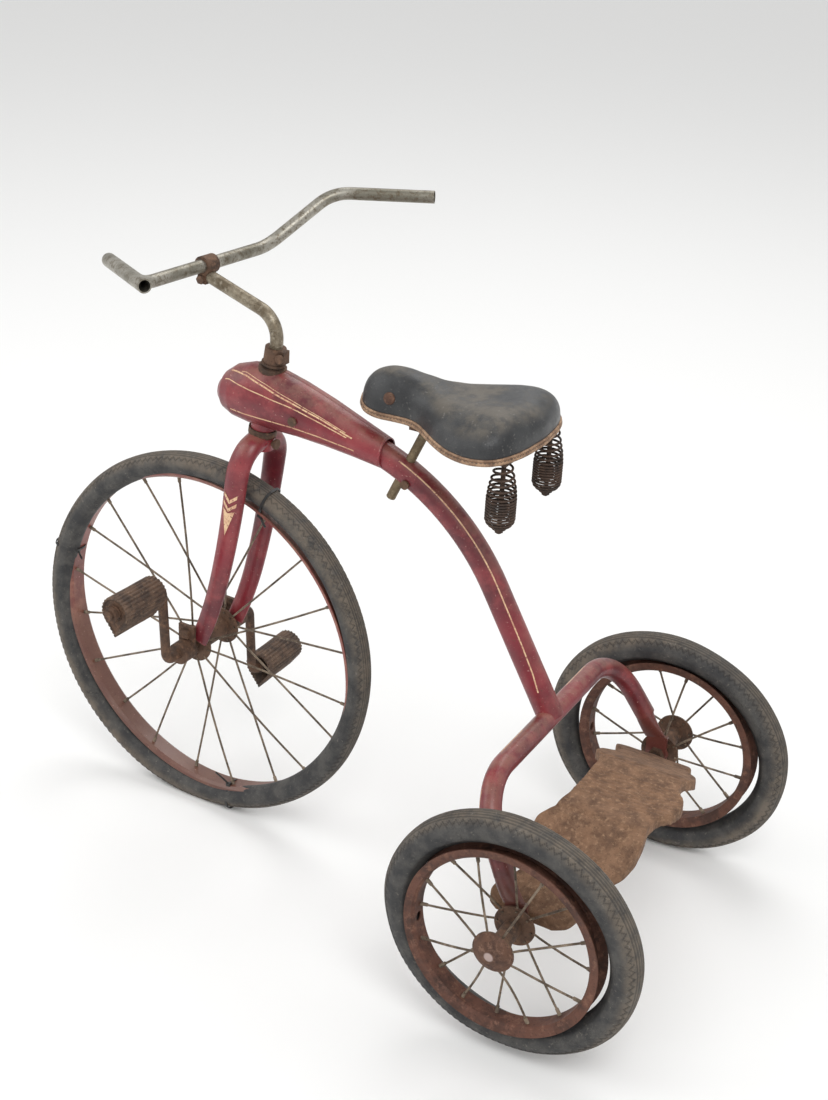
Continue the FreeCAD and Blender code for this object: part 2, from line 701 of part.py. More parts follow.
def frame():
    head_tube = cylinder(on_steering_axis(567), STEER_AXIS, "dims.head_tube_diameter / 2", HEAD_TUBE_LENGTH)
    bore = cylinder(on_steering_axis(540), STEER_AXIS, "dims.head_tube_diameter / 2 - dims.tube_wall", 130)
    node("head_tube", cut(head_tube, bore))
    post_hole = cylinder(POST_END, POST_AXIS, "dims.post_diameter / 2 + dims.running_gap", 120)
    clear_head = cylinder(on_steering_axis(540), STEER_AXIS, "dims.head_tube_diameter / 2", 130)
    clear_fork = cylinder(at(70, -60, LEG_TOP), Y, "dims.rear_fork_diameter / 2", 120)
    node("backbone_tube", cut(tube(bone_path(), "dims.backbone_diameter / 2", "dims.tube_wall"),
                              clear_head, clear_fork, post_hole))
    rear_fork()
    node("rear_axle", cylinder(at(0, -HALF_TRACK - 35.5, REAR_Z), Y, "dims.axle_diameter / 2",
                               2 * HALF_TRACK + 71))
    bolt = cylinder(at(272, 15.0, 551), Y, 3.4, 4.0)
    head = cylinder(at(272, 16.6, 551), Y, 5.4, 3.0)
    node("seat_clamp_bolt", cut(fuse(bolt, head), sweep(bone_path(), "dims.backbone_diameter / 2")))


LEG_TOP = 296.0
LEG_KNEE = (22.0, 203.5, 212.0)
LEG_FOOT = (6.0, 207.0, 182.0)


def rear_fork():
    """Inverted U whose legs are drawn flat at the axle."""
    x, y, z = LEG_KNEE
    right = [at(x, -y, z), at(70, -184, LEG_TOP)]
    left = [at(70, 184, LEG_TOP), at(x, y, z)]
    path = rounded_path(right + left, [78, 78])
    arch = tube(path, "dims.rear_fork_diameter / 2", "dims.tube_wall")
    parts = [arch]
    radius = D["rear_fork_diameter"] / 2
    for side, sign in SIDES:
        knee = at(x, sign * y, z)
        run = (at(70, sign * 184, LEG_TOP) - knee).normalize()
        foot = at(LEG_FOOT[0], sign * LEG_FOOT[1], LEG_FOOT[2])
        middle = (knee + foot) * 0.5 + X * 2.0
        ovals = [ellipse(knee + run * 4, run, X, radius - 0.7, radius - 0.75),
                 ellipse(middle, Vector(0.45, -0.1 * sign, 1).normalize(), X, radius, 7.5),
                 ellipse(foot, Vector(0.3, 0, 1).normalize(), X, radius + 1.0, 3.2)]
        taper = loft(ovals)
        plate = box(at(2.5, sign * LEG_FOOT[1], 167), (27, 5.4, 36))
        eye = cylinder(at(0, sign * LEG_FOOT[1] - 2.7, REAR_Z), Y, 13.5, 5.4)
        parts += [taper, plate, eye]
    axle_hole = cylinder(at(0, -300, REAR_Z), Y, "dims.axle_diameter / 2", 600)
    node("rear_fork_tube", cut(fuse(*parts), axle_hole))


def axle_nuts():
    """Nuts and washers that hold the wheels on, inside the domed caps, and inner collars."""
    parts = []
    for side, sign in SIDES:
        outward = Y * sign
        bore = cylinder(at(0, sign * 150, REAR_Z), outward, "dims.axle_diameter / 2", 160)
        outer_face = at(0, sign * (HALF_TRACK + D["rear_hub_width"] / 2 + 0.3), REAR_Z)
        inner_face = at(0, sign * (LEG_FOOT[1] - 2.7 - 7.0), REAR_Z)
        parts.append(cut(cylinder(outer_face, outward, 10.0, 1.4), bore))
        parts.append(cut(hexagon(outer_face + outward * 1.4, outward, "15.0", 4.8), bore))
        parts.append(cut(hexagon(inner_face, outward, "19.0", 7.0), bore))
    node("rear_axle_nuts", group(*parts))


# ------------------------------------------------------------------ step plate
DECK_CREST = 231.0
DECK_FLAT = 62.0
DECK_SLOPE = 0.5
DECK_END = 190.0

# half outline of the step plate, front edge from the middle outwards, then back
DECK_OUTLINE = [(17, 0), (19, 40), (24, 66), (38, 84), (38, 104), (28, 122), (26, 150), (42, 168),
                (47, 180), (40, 189), (10, 191), (-25, 191), (-50, 186), (-58, 172), (-56, 150),
                (-68, 132), (-83, 112), (-89, 94), (-89, 74), (-85, 52), (-88, 34), (-101, 18),
                (-105, 0)]


def deck_profile(lower):
    """Upper or lower line of the arched plate across the width."""
    end = DECK_CREST - DECK_SLOPE * (DECK_END + 6 - DECK_FLAT)
    return [Vector(0, -DECK_END - 6, end - lower), Vector(0, -DECK_FLAT, DECK_CREST - lower),
            Vector(0, DECK_FLAT, DECK_CREST - lower), Vector(0, DECK_END + 6, end - lower)]


def deck_band(top, bottom, span):
    """Arched slab between two depths below the crest line."""
    upper = deck_profile(top)
    lower = deck_profile(bottom)
    wire = polygon([at(-span / 2 - 30, p.y, p.z) for p in upper + lower[::-1]])
    return extrude(wire, X, span)


def deck_outline(inset):
    """Scalloped outline as a smooth closed curve."""
    right = [(x, y) for x, y in DECK_OUTLINE]
    left = [(x, -y) for x, y in DECK_OUTLINE[-2:0:-1]]
    scale_x = 1 - inset / 60.0
    scale_y = 1 - inset / DECK_END
    centre_x = -25.0
    points = [at(centre_x + (x - centre_x) * scale_x, y * scale_y, 100) for x, y in right + left]
    curve = Part.BSplineCurve()
    curve.interpolate(Points=points, PeriodicFlag=True)
    return Part.Wire([curve.toShape()])


def step_deck():
    gauge = D["deck_gauge"]
    plate = common(extrude(deck_outline(0), Z, 200), deck_band(0, gauge, 300))
    skirt = common(cut(extrude(deck_outline(0), Z, 200), extrude(deck_outline(gauge), Z, 200)),
                   deck_band(0, D["deck_flange"], 300))
    bolt_clear = cylinder(at(0, -300, REAR_Z), Y, 14.5, 600)
    node("step_deck", cut(fuse(plate, skirt), bolt_clear))


def deck_brackets():
    """Bent clips that hang the step plate on the axle, with their bolts."""
    brackets = []
    bolts = []
    for side, sign in SIDES:
        y = sign * 172
        top = DECK_CREST - DECK_SLOPE * (abs(y) - DECK_FLAT) - D["deck_gauge"] - 3.6
        saddle = cut(cylinder(at(0, y - 9, REAR_Z), Y, 9.0, 18),
                     cylinder(at(0, y - 20, REAR_Z), Y, "dims.axle_diameter / 2", 40))
        brackets.append(saddle)
        post = cylinder(at(0, y, REAR_Z + 8.5), Z, 3.0, top - REAR_Z - 6.5)
        bolts.append(cut(post, cylinder(at(0, y - 9, REAR_Z), Y, 9.0, 18)))
    node("deck_clips", group(*brackets))
    node("deck_bolts", group(*bolts))


# ------------------------------------------------------------------ saddle
# forward place, half width of the rim, crest height, rim height
SADDLE_STATIONS = [
    (336, 8, 656, 645),
    (327, 18, 672, 640),
    (308, 26, 683, 637),
    (278, 28, 684, 637),
    (250, 36, 680, 637),
    (225, 56, 677, 638),
    (195, 80, 675, 639),
    (162, 93, 674, 640),
    (135, 86, 671, 640),
    (117, 58, 661, 640),
    (109.5, 25, 650, 640),
]
PAN_BOTTOM = 635.4


def saddle():
    ovals = []
    for x, half, crest, low in SADDLE_STATIONS:
        height = crest - low
        ovals.append(ellipse(at(x, 0, low), X, Y if half > height else Z, max(half, height),
                             min(half, height)))
    dome = loft(ovals)
    under = box(at(210, 0, 598), (400, 300, 80))
    node("saddle_cover", cut(dome, under))
    outline = [at(x, half - 4, PAN_BOTTOM) for x, half, crest, low in SADDLE_STATIONS[1:-1]]
    outline += [Vector(p.x, -p.y, p.z) for p in reversed(outline)]
    node("saddle_pan", extrude(polygon(outline), Z, 2.4))
    node("seat_post", cylinder(POST_END, POST_AXIS, "dims.post_diameter / 2", 113))
    bracket = box(at(251, 0, 627.2), (44, 26, 16))
    bore = cylinder(POST_END, POST_AXIS, "dims.post_diameter / 2", 200)
    node("saddle_bracket", cut(bracket, bore))
    rivets = [cylinder(at(293, sign * 24.0, 657), Y * sign, 7.0, 4.0) for side, sign in SIDES]
    node("saddle_rivets", cut(group(*rivets), dome))
    node("saddle_spring_bar", spring_bar())


SPRING_PLACE = (128, 61)
SPRING_TOP = 632.0
SPRING_FLOOR = 556.0
# height up the spring, radius of the coil and turns wound so far
SPRING_COILS = [(0, 11.5, 0), (3, 14.5, 1), (7, 16.2, 2), (34, 16.2, 10), (46, 15.0, 12.4), (59, 12.4, 14.4),
                (73.3, 9.2, 16)]
POINTS_PER_TURN = 12


def spring_bar():
    """Flat bar under the pan from one spring to the other."""
    x, y = SPRING_PLACE
    return box(at(x, 0, PAN_BOTTOM - 1.6), (14, 2 * y + 20, 3.0))


def coil_point(foot, turned):
    """Point on the spring's wire after some turns, between the rows of SPRING_COILS."""
    for (low, narrow, before), (high, wide, after) in zip(SPRING_COILS, SPRING_COILS[1:]):
        if turned <= after:
            share = (turned - before) / (after - before)
            radius = narrow + (wide - narrow) * share
            height = low + (high - low) * share
            angle = 2 * math.pi * turned
            return foot + Vector(radius * math.cos(angle), radius * math.sin(angle), height)


def spring(side, sign):
    """Beehive spring: close coils of full width below, opening and narrowing above."""
    x, y = SPRING_PLACE
    foot = at(x, sign * y, SPRING_FLOOR + D["spring_wire"] / 2)
    count = SPRING_COILS[-1][2] * POINTS_PER_TURN
    curve = Part.BSplineCurve()
    curve.interpolate([coil_point(foot, i / POINTS_PER_TURN) for i in range(count + 1)])
    wire = Part.Wire([curve.toShape()])
    node("saddle_spring_%s" % side, sweep(wire, "dims.spring_wire / 2", coiled=True))


def spring_bolts():
    parts = []
    for side, sign in SIDES:
        x, y = SPRING_PLACE
        foot = at(x, sign * y, SPRING_FLOOR - 9)
        parts.append(fuse(cylinder(foot, Z, 2.8, PAN_BOTTOM - 3.1 - foot.z),
                          cylinder(foot + Z * 5.5, Z, 8.0, 2.6), hexagon(foot + Z * 1.5, Z, "9.0", 4.0)))
    node("spring_bolts", group(*parts))


# ------------------------------------------------------------------ build and write
def build():
    frame()
    head_shell()
    collar_bolt = headset()
    crown_bolt = fork()
    steering_bolts = group(collar_bolt, crown_bolt)
    steering_bolts.Placement = FORK_TURN
    node("fork_bolts", group(steering_bolts, bearing_bolts()))
    stem()
    handlebar()
    front_wheel()
    for side, sign in SIDES:
        crank(side, sign)
        pedal(side, sign)
        rear_wheel(side, sign)
        spring(side, sign)
    pedal_nuts()
    axle_nuts()
    step_deck()
    deck_brackets()
    saddle()
    spring_bolts()


def check_and_write():
    os.makedirs("parts", exist_ok=True)
    doc.recompute()
    for obj in doc.Objects:
        if "Invalid" in obj.State or "Error" in obj.State:
            raise RuntimeError("%s (%s) failed" % (obj.Name, obj.Label))
    box_all = FreeCAD.BoundBox()
    for name, obj in nodes:
        shape = obj.Shape
        if shape.isNull() or not shape.isValid() or not shape.Solids:
            raise RuntimeError("%s has no valid solid" % name)
        box_all.add(shape.BoundBox)
        shape.exportStep("parts/%s.step" % name)
    print(len(nodes), "sub-parts", box_all)


build()
check_and_write()
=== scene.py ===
import math
import bpy
import numpy as np
from mathutils import Matrix, Vector


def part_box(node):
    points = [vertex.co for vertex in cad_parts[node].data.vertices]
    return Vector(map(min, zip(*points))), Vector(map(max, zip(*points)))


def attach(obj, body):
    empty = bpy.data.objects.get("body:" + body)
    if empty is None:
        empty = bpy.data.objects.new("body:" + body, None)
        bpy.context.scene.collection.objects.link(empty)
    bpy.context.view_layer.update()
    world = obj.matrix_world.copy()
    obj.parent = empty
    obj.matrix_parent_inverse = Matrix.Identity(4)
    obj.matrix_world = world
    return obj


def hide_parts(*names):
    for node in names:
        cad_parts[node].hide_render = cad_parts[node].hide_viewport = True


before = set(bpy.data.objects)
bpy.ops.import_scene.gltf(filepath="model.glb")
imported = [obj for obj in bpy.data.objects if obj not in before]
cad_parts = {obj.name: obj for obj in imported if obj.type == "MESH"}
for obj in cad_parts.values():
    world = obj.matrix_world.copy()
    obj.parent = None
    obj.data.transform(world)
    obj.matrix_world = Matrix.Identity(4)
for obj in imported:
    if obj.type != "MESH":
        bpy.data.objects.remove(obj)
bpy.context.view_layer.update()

# Lengths below are millimetres measured from the rear axle's plane, as in the part's source:
# X forward, Y to the rider's left, Z up.  placed() turns them into metres of the row frame.
axle_low, axle_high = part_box("rear_axle")
REAR_AXLE = 1000 * (axle_low[0] + axle_high[0]) / 2
MM = 0.001
RNG = np.random.default_rng(7)


def placed(points):
    return (np.asarray(points, float) + (REAR_AXLE, 0, 0)) * MM


def turn(axis, degrees):
    """Rotation matrix about an axis."""
    return np.array(Matrix.Rotation(math.radians(degrees), 3, Vector(axis)))


# --- frames of the moving parts
RAKE = math.radians(8.4)
STEER_AXIS = np.array([-math.sin(RAKE), 0, math.cos(RAKE)])
STEER_POINT = np.array([463.4, 0, 672.0])
FORK_TURN = turn(STEER_AXIS, -3.3)
WHEEL_TURN = FORK_TURN @ turn((1, 0, 0), -1.6)
FRONT_AXLE = np.array([558.0, 0, 254.0])
FRONT_CENTRE = STEER_POINT + FORK_TURN @ (FRONT_AXLE - STEER_POINT)
REAR_Z = 157.3
HALF_TRACK = 240.8


# --- shader building
def rgb(r, g, b):
    """Linear colour from display values."""
    def linear(c):
        c /= 255
        return c / 12.92 if c <= 0.04045 else ((c + 0.055) / 1.055) ** 2.4
    return (linear(r), linear(g), linear(b), 1.0)


class Shader:
    """Node material in object coordinates, which are the row frame's metres."""

    def __init__(self, name, roughness=0.5, metallic=0.0):
        self.material = bpy.data.materials.new(name)
        self.material.use_nodes = True
        self.tree = self.material.node_tree
        self.tree.nodes.clear()
        output = self.tree.nodes.new("ShaderNodeOutputMaterial")
        self.surface = self.tree.nodes.new("ShaderNodeBsdfPrincipled")
        self.join(self.surface.outputs[0], output.inputs["Surface"])
        self.surface.inputs["Roughness"].default_value = roughness
        self.surface.inputs["Metallic"].default_value = metallic
        self.coordinates = self.tree.nodes.new("ShaderNodeTexCoord").outputs["Object"]
        self.seed = 0

    def join(self, source, target):
        self.tree.links.new(source, target)

    def feed(self, socket, value):
        if isinstance(value, bpy.types.NodeSocket):
            self.join(value, socket)
        else:
            socket.default_value = value

    def noise(self, scale, detail=4.0, roughness=0.55, stretch=(1, 1, 1), distortion=0.0):
        self.seed += 1
        mapping = self.tree.nodes.new("ShaderNodeMapping")
        mapping.inputs["Location"].default_value = (1.7 * self.seed, 3.1 * self.seed, 0.9 * self.seed)
        mapping.inputs["Scale"].default_value = stretch
        self.join(self.coordinates, mapping.inputs["Vector"])
        node = self.tree.nodes.new("ShaderNodeTexNoise")
        self.join(mapping.outputs[0], node.inputs["Vector"])
        node.inputs["Scale"].default_value = scale
        node.inputs["Detail"].default_value = detail
        node.inputs["Roughness"].default_value = roughness
        node.inputs["Distortion"].default_value = distortion
        return node.outputs["Fac"]

    def cell_edges(self, scale):
        """Distance from the edges of random cells."""
        node = self.tree.nodes.new("ShaderNodeTexVoronoi")
        node.feature = "DISTANCE_TO_EDGE"
        self.join(self.coordinates, node.inputs["Vector"])
        node.inputs["Scale"].default_value = scale
        return node.outputs["Distance"]

    def distance(self, point, axes=(1, 1, 1)):
        """Metres from a point, measured along the given axes only."""
        along = self.tree.nodes.new("ShaderNodeVectorMath")
        along.operation = "MULTIPLY"
        along.inputs[1].default_value = axes
        self.join(self.coordinates, along.inputs[0])
        away = self.tree.nodes.new("ShaderNodeVectorMath")
        away.operation = "DISTANCE"
        away.inputs[1].default_value = point
        self.join(along.outputs[0], away.inputs[0])
        return away.outputs["Value"]

    def step(self, value, low, high, top=1.0):
        """0 below low, rising smoothly to top above high."""
        node = self.tree.nodes.new("ShaderNodeMapRange")
        node.interpolation_type = "SMOOTHSTEP"
        self.feed(node.inputs["Value"], value)
        node.inputs["From Min"].default_value = low
        node.inputs["From Max"].default_value = high
        node.inputs["To Max"].default_value = top
        return node.outputs["Result"]

    def between(self, value, low, high, start=0.0, end=1.0):
        """Plain number that runs from low to high as a value runs from start to end."""
        node = self.tree.nodes.new("ShaderNodeMapRange")
        self.feed(node.inputs["Value"], value)
        node.inputs["From Min"].default_value = start
        node.inputs["From Max"].default_value = end
        node.inputs["To Min"].default_value = low
        node.inputs["To Max"].default_value = high
        return node.outputs["Result"]

    def calc(self, operation, a, b=0.0):
        node = self.tree.nodes.new("ShaderNodeMath")
        node.operation = operation
        self.feed(node.inputs[0], a)
        self.feed(node.inputs[1], b)
        return node.outputs[0]

    def mix(self, share, a, b, blend="MIX"):
        node = self.tree.nodes.new("ShaderNodeMix")
        node.data_type = "RGBA"
        node.blend_type = blend
        self.feed(node.inputs["Factor"], share)
        self.feed(node.inputs["A"], a)
        self.feed(node.inputs["B"], b)
        return node.outputs["Result"]

    def z_of(self, vector):
        split = self.tree.nodes.new("ShaderNodeSeparateXYZ")
        self.join(vector, split.inputs[0])
        return split.outputs["Z"]

    def upward(self):
        """How much the surface faces up, for settled dust."""
        return self.z_of(self.tree.nodes.new("ShaderNodeNewGeometry").outputs["Normal"])

    def height(self, value, distance, strength=0.6):
        node = self.tree.nodes.new("ShaderNodeBump")
        node.inputs["Distance"].default_value = distance
        node.inputs["Strength"].default_value = strength
        self.join(value, node.inputs["Height"])
        normal = self.surface.inputs["Normal"]
        if normal.is_linked:
            self.join(normal.links[0].from_socket, node.inputs["Normal"])
        self.join(node.outputs[0], normal)

    def finish(self, colour, roughness=None):
        self.feed(self.surface.inputs["Base Color"], colour)
        if roughness is not None:
            self.feed(self.surface.inputs["Roughness"], roughness)
        return self.material

BROWNED_BELOW = (0.19, 0.25)  # metres above the ground where enamel fades into brown
WORN_PATCH = (0.0045, 0.0062)  # metres from the axle where a hub cap's pale middle ends


def paint(name, base, faded, deep, dusty=0.35, rusty=0.5):
    """Old enamel: uneven fading, settled dust, chips down to brown rust."""
    s = Shader(name, roughness=0.4)
    s.surface.inputs["Coat Weight"].default_value = 0.18
    s.surface.inputs["Coat Roughness"].default_value = 0.25
    colour = s.mix(s.step(s.noise(9, 3), 0.35, 0.65), rgb(*deep), rgb(*base))
    colour = s.mix(s.step(s.noise(34, 6, 0.65), 0.42, 0.72, 0.75), colour, rgb(*faded))
    dust = s.calc("MULTIPLY", s.step(s.upward(), 0.15, 0.95, dusty), s.step(s.noise(60, 6, 0.7), 0.3, 0.62))
    colour = s.mix(dust, colour, rgb(142, 104, 88))
    wear = s.step(s.noise(150, 8, 0.7, distortion=0.4), 0.60, 0.70, rusty)
    colour = s.mix(wear, colour, rgb(112, 74, 56))
    low = s.calc("SUBTRACT", 1.0, s.step(s.z_of(s.coordinates), *BROWNED_BELOW))
    colour = s.mix(s.calc("MULTIPLY", low, 0.72), colour, rgb(92, 62, 50))
    specks = s.step(s.noise(620, 3, 0.6), 0.63, 0.69, 0.85)
    colour = s.mix(specks, colour, rgb(62, 40, 34))
    pale = s.step(s.noise(430, 2, 0.5), 0.69, 0.74, 0.6)
    colour = s.mix(pale, colour, rgb(196, 150, 140))
    s.height(s.noise(700, 4, 0.6), 0.0002, 0.35)
    s.height(s.calc("SUBTRACT", 1.0, wear), 0.0003, 0.5)
    dullness = s.calc("ADD", wear, s.calc("MULTIPLY", s.noise(80, 5), 0.5))
    return s.finish(colour, s.between(dullness, 0.26, 0.8))


def rust(name, dark, middle, light, fine=1.0, metallic=0.15, roughness=0.72, worn=False):
    """Steel under a brown rust film; a worn hub cap has a pale patch in its middle."""
    s = Shader(name, roughness=roughness, metallic=metallic)
    colour = s.mix(s.step(s.noise(45 * fine, 6, 0.65), 0.34, 0.62), rgb(*dark), rgb(*middle))
    colour = s.mix(s.step(s.noise(150 * fine, 6, 0.7), 0.50, 0.70, 0.8), colour, rgb(*light))
    pits = s.step(s.noise(480 * fine, 4, 0.6), 0.60, 0.68, 0.8)
    colour = s.mix(pits, colour, rgb(*[0.55 * c for c in dark]))
    if worn:
        away = s.distance((REAR_AXLE * MM, 0, REAR_Z * MM), (1, 0, 1))
        colour = s.mix(s.between(away, 0.8, 0.0, *WORN_PATCH), colour, rgb(186, 166, 160))
    s.height(s.noise(420 * fine, 5, 0.65), 0.0005, 0.55)
    return s.finish(colour, s.between(s.noise(90, 4), roughness - 0.14, roughness + 0.14))


def nickel(name):
    """Dulled plating with tarnish, brown specks and fine scratches."""
    s = Shader(name, roughness=0.36, metallic=0.82)
    colour = s.mix(s.step(s.noise(22, 5, 0.6), 0.38, 0.66), rgb(124, 120, 108), rgb(164, 160, 150))
    colour = s.mix(s.step(s.noise(140, 7, 0.75), 0.48, 0.62, 0.8), colour, rgb(96, 84, 66))
    specks = s.step(s.noise(520, 3, 0.6), 0.60, 0.67, 0.85)
    colour = s.mix(specks, colour, rgb(92, 76, 58))
    s.height(s.noise(600, 4, 0.6), 0.0002, 0.4)
    return s.finish(colour, s.between(s.noise(70, 5, 0.65), 0.24, 0.58))


def rubber(name, centre, inner, outer):
    """Perished tyre rubber: dark walls, brown dust towards the tread, painted shade in the tread's dips and
    zigzag groove, fine cracks.
    """
    s = Shader(name, roughness=0.74)
    dark = s.mix(s.step(s.noise(40, 6, 0.65), 0.35, 0.68), rgb(48, 48, 49), rgb(78, 76, 73))
    tread = s.step(s.distance(tuple(placed(centre))), inner * MM, outer * MM)
    dust = s.calc("MULTIPLY", tread, s.step(s.noise(70, 8, 0.75), 0.25, 0.66))
    colour = s.mix(s.calc("MULTIPLY", dust, 0.8), dark, rgb(116, 104, 90))
    # painted shade: the tread's rib valleys and zigzag groove are darkened to near-black
    groove_shade = s.tree.nodes.new("ShaderNodeAttribute")
    groove_shade.attribute_name = "groove_shade"
    colour = s.mix(s.calc("MULTIPLY", groove_shade.outputs["Fac"], 0.75), colour, rgb(30, 28, 27))
    scuff = s.step(s.noise(210, 6, 0.7, distortion=0.5), 0.58, 0.70, 0.55)
    colour = s.mix(scuff, colour, rgb(128, 121, 112))
    cracks = s.step(s.cell_edges(260), 0.0, 0.05)
    patches = s.step(s.noise(18, 3), 0.48, 0.58)
    lines = s.calc("MULTIPLY", s.calc("SUBTRACT", 1.0, cracks), patches)
    colour = s.mix(s.calc("MULTIPLY", lines, 0.6), colour, rgb(26, 25, 25))
    s.height(s.noise(300, 6, 0.7), 0.0005, 0.45)
    s.height(s.calc("SUBTRACT", 1.0, lines), 0.0004, 0.5)
    return s.finish(colour, s.between(s.noise(60, 4), 0.58, 0.88))


def leather(name):
    """Charcoal leathercloth with a fine cross grain, shine and pale scuffs."""
    s = Shader(name, roughness=0.45)
    colour = s.mix(s.step(s.noise(28, 5, 0.6), 0.36, 0.64), rgb(33, 34, 36), rgb(52, 53, 54))
    rubbed = s.calc("MULTIPLY", s.step(s.upward(), 0.55, 0.95), s.step(s.noise(22, 6, 0.68), 0.40, 0.62))
    colour = s.mix(s.calc("MULTIPLY", rubbed, 0.62), colour, rgb(106, 98, 86))
    scuff = s.step(s.noise(240, 6, 0.7), 0.60, 0.70, 0.6)
    colour = s.mix(scuff, colour, rgb(138, 134, 128))
    grain_long = s.noise(900, 2, 0.5, stretch=(0.25, 1, 1))
    grain_cross = s.noise(900, 2, 0.5, stretch=(1, 0.25, 1))
    s.height(s.calc("ADD", grain_long, grain_cross), 0.0003, 0.5)
    s.height(s.step(s.cell_edges(420), 0.0, 0.07), 0.0003, 0.35)
    return s.finish(colour, s.between(s.calc("ADD", rubbed, s.noise(50, 4)), 0.22, 0.5))


def speckled(name, roughness, body, specks, grain, metallic=0.0):
    """Two mottled colours, specks over them and a fine surface grain."""
    s = Shader(name, roughness=roughness, metallic=metallic)
    pattern, low, high, first, second = body
    colour = s.mix(s.step(s.noise(*pattern), low, high), rgb(*first), rgb(*second))
    if specks:
        pattern, low, high, share, tint = specks
        colour = s.mix(s.step(s.noise(*pattern), low, high, share), colour, rgb(*tint))
    pattern, depth, strength = grain
    s.height(s.noise(*pattern), depth, strength)
    return s.finish(colour)


MAROON = paint("maroon_enamel", (126, 30, 42), (148, 62, 64), (88, 22, 32), dusty=0.55)
RIM_FRONT = paint("rim_enamel", (132, 70, 62), (160, 112, 92), (104, 52, 46), dusty=0.7, rusty=0.8)
RIM_REAR = rust("rim_rust", (66, 42, 33), (98, 62, 48), (126, 88, 70), fine=0.8, metallic=0.05)
RUST = rust("brown_rust", (64, 48, 38), (98, 72, 55), (128, 96, 74))
RUST_DARK = rust("dark_rust", (46, 36, 30), (72, 54, 43), (98, 76, 60))
DECK = rust("deck_rust", (96, 70, 52), (130, 98, 74), (158, 126, 98), fine=1.3, metallic=0.0, roughness=0.85)
CAP = rust("cap_rust", (64, 42, 33), (96, 66, 50), (132, 100, 82), metallic=0.15)
HUB_CAP = rust("worn_cap_rust", (64, 42, 33), (96, 66, 50), (132, 100, 82), metallic=0.15, worn=True)
BARE = rust("tarnished_stem", (104, 92, 74), (148, 138, 120), (176, 168, 152), metallic=0.6, roughness=0.44)
WIRE = speckled("spoke_wire", 0.55, ((60, 5, 0.65), 0.36, 0.64, (82, 70, 58), (138, 122, 104)),
                ((300, 4, 0.6), 0.58, 0.66, 0.8, (60, 46, 38)), ((700, 3), 0.0002, 0.4), metallic=0.45)
NICKEL = nickel("dull_nickel")
POST = rust("post_plating", (92, 78, 58), (124, 108, 82), (146, 130, 102), metallic=0.4, roughness=0.5)
LEATHER = leather("saddle_cloth")
CREAM = speckled("cream_lining", 0.5, ((120, 6, 0.7), 0.40, 0.66, (226, 190, 150), (196, 146, 118)),
                 ((330, 5, 0.65), 0.55, 0.63, 0.9, (136, 70, 72)), ((600, 3), 0.0001, 0.3))
BINDING = speckled("tan_binding", 0.75, ((80, 6, 0.7), 0.38, 0.64, (122, 94, 74), (172, 140, 112)),
                   ((420, 4, 0.6), 0.56, 0.66, 0.7, (92, 70, 56)), ((500, 5, 0.7), 0.0005, 0.6))
PEDAL = speckled("pedal_rubber", 0.7, ((50, 6, 0.65), 0.36, 0.64, (62, 48, 40), (100, 78, 62)),
                 ((190, 6, 0.7), 0.54, 0.68, 0.7, (136, 112, 90)), ((380, 5, 0.7), 0.0004, 0.5))
TIE = speckled("black_tie", 0.42, ((90, 4), 0.4, 0.65, (18, 18, 19), (44, 43, 42)), None,
               ((800, 2), 0.0001, 0.3))
REAR_LEFT = np.array([0, HALF_TRACK, REAR_Z])
REAR_RIGHT = np.array([0, -HALF_TRACK, REAR_Z])
TYRE_FRONT = rubber("front_rubber", FRONT_CENTRE, 236, 250)
TYRE_LEFT = rubber("left_rubber", REAR_LEFT, 143, 156)
TYRE_RIGHT = rubber("right_rubber", REAR_RIGHT, 138, 152)

NODE_LOOKS = {
    MAROON: "backbone_tube head_tube head_shell_left head_shell_right rear_fork_tube fork_blade_left "
            "fork_blade_right fork_crown",
    RIM_FRONT: "front_rim",
    RIM_REAR: "rear_left_rim rear_right_rim",
    RUST: "rear_axle_nuts deck_clips deck_bolts shell_screws seat_clamp_bolt upper_headset_cup "
          "lower_headset_cup headset_race bearing_block_left bearing_block_right fork_bolts front_hub "
          "rear_left_hub rear_right_hub crank_left crank_right pedal_nuts pedal_left_end_plate "
          "pedal_right_end_plate saddle_bracket saddle_rivets stem_collar "
          "bar_clamp bar_clamp_bolt",
    RUST_DARK: "rear_axle pedal_left_sleeve pedal_right_sleeve saddle_spring_bar saddle_spring_left "
               "saddle_spring_right spring_bolts saddle_pan steerer_tube",
    HUB_CAP: "rear_left_hub_cap rear_right_hub_cap",
    POST: "seat_post",
    NICKEL: "handlebar",
    BARE: "gooseneck_stem",
    WIRE: "front_spokes rear_left_spokes rear_right_spokes",
    DECK: "step_deck",
    LEATHER: "saddle_cover",
    PEDAL: "pedal_left_tread pedal_right_tread",
    TIE: "tyre_straps",
    TYRE_FRONT: "front_tyre",
    TYRE_LEFT: "rear_left_tyre",
    TYRE_RIGHT: "rear_right_tyre",
}
for material, names in NODE_LOOKS.items():
    for name in names.split():
        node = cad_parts[name]
        node.data.materials.clear()
        node.data.materials.append(material)


# --- mesh building
def piece(name, points, faces, material, body, slot, replaced=(), smooth=True):
    """Mesh object from millimetre points, on its body; slot is not used."""
    mesh = bpy.data.meshes.new(name)
    mesh.from_pydata([tuple(p) for p in placed(points)], [], [tuple(int(i) for i in f) for f in faces])
    mesh.validate()
    mesh.update()
    mesh.polygons.foreach_set("use_smooth", [smooth] * len(mesh.polygons))
    mesh.materials.append(material)
    obj = bpy.data.objects.new(name, mesh)
    bpy.context.scene.collection.objects.link(obj)
    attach(obj, body)
    if replaced:
        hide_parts(*replaced)
    return obj


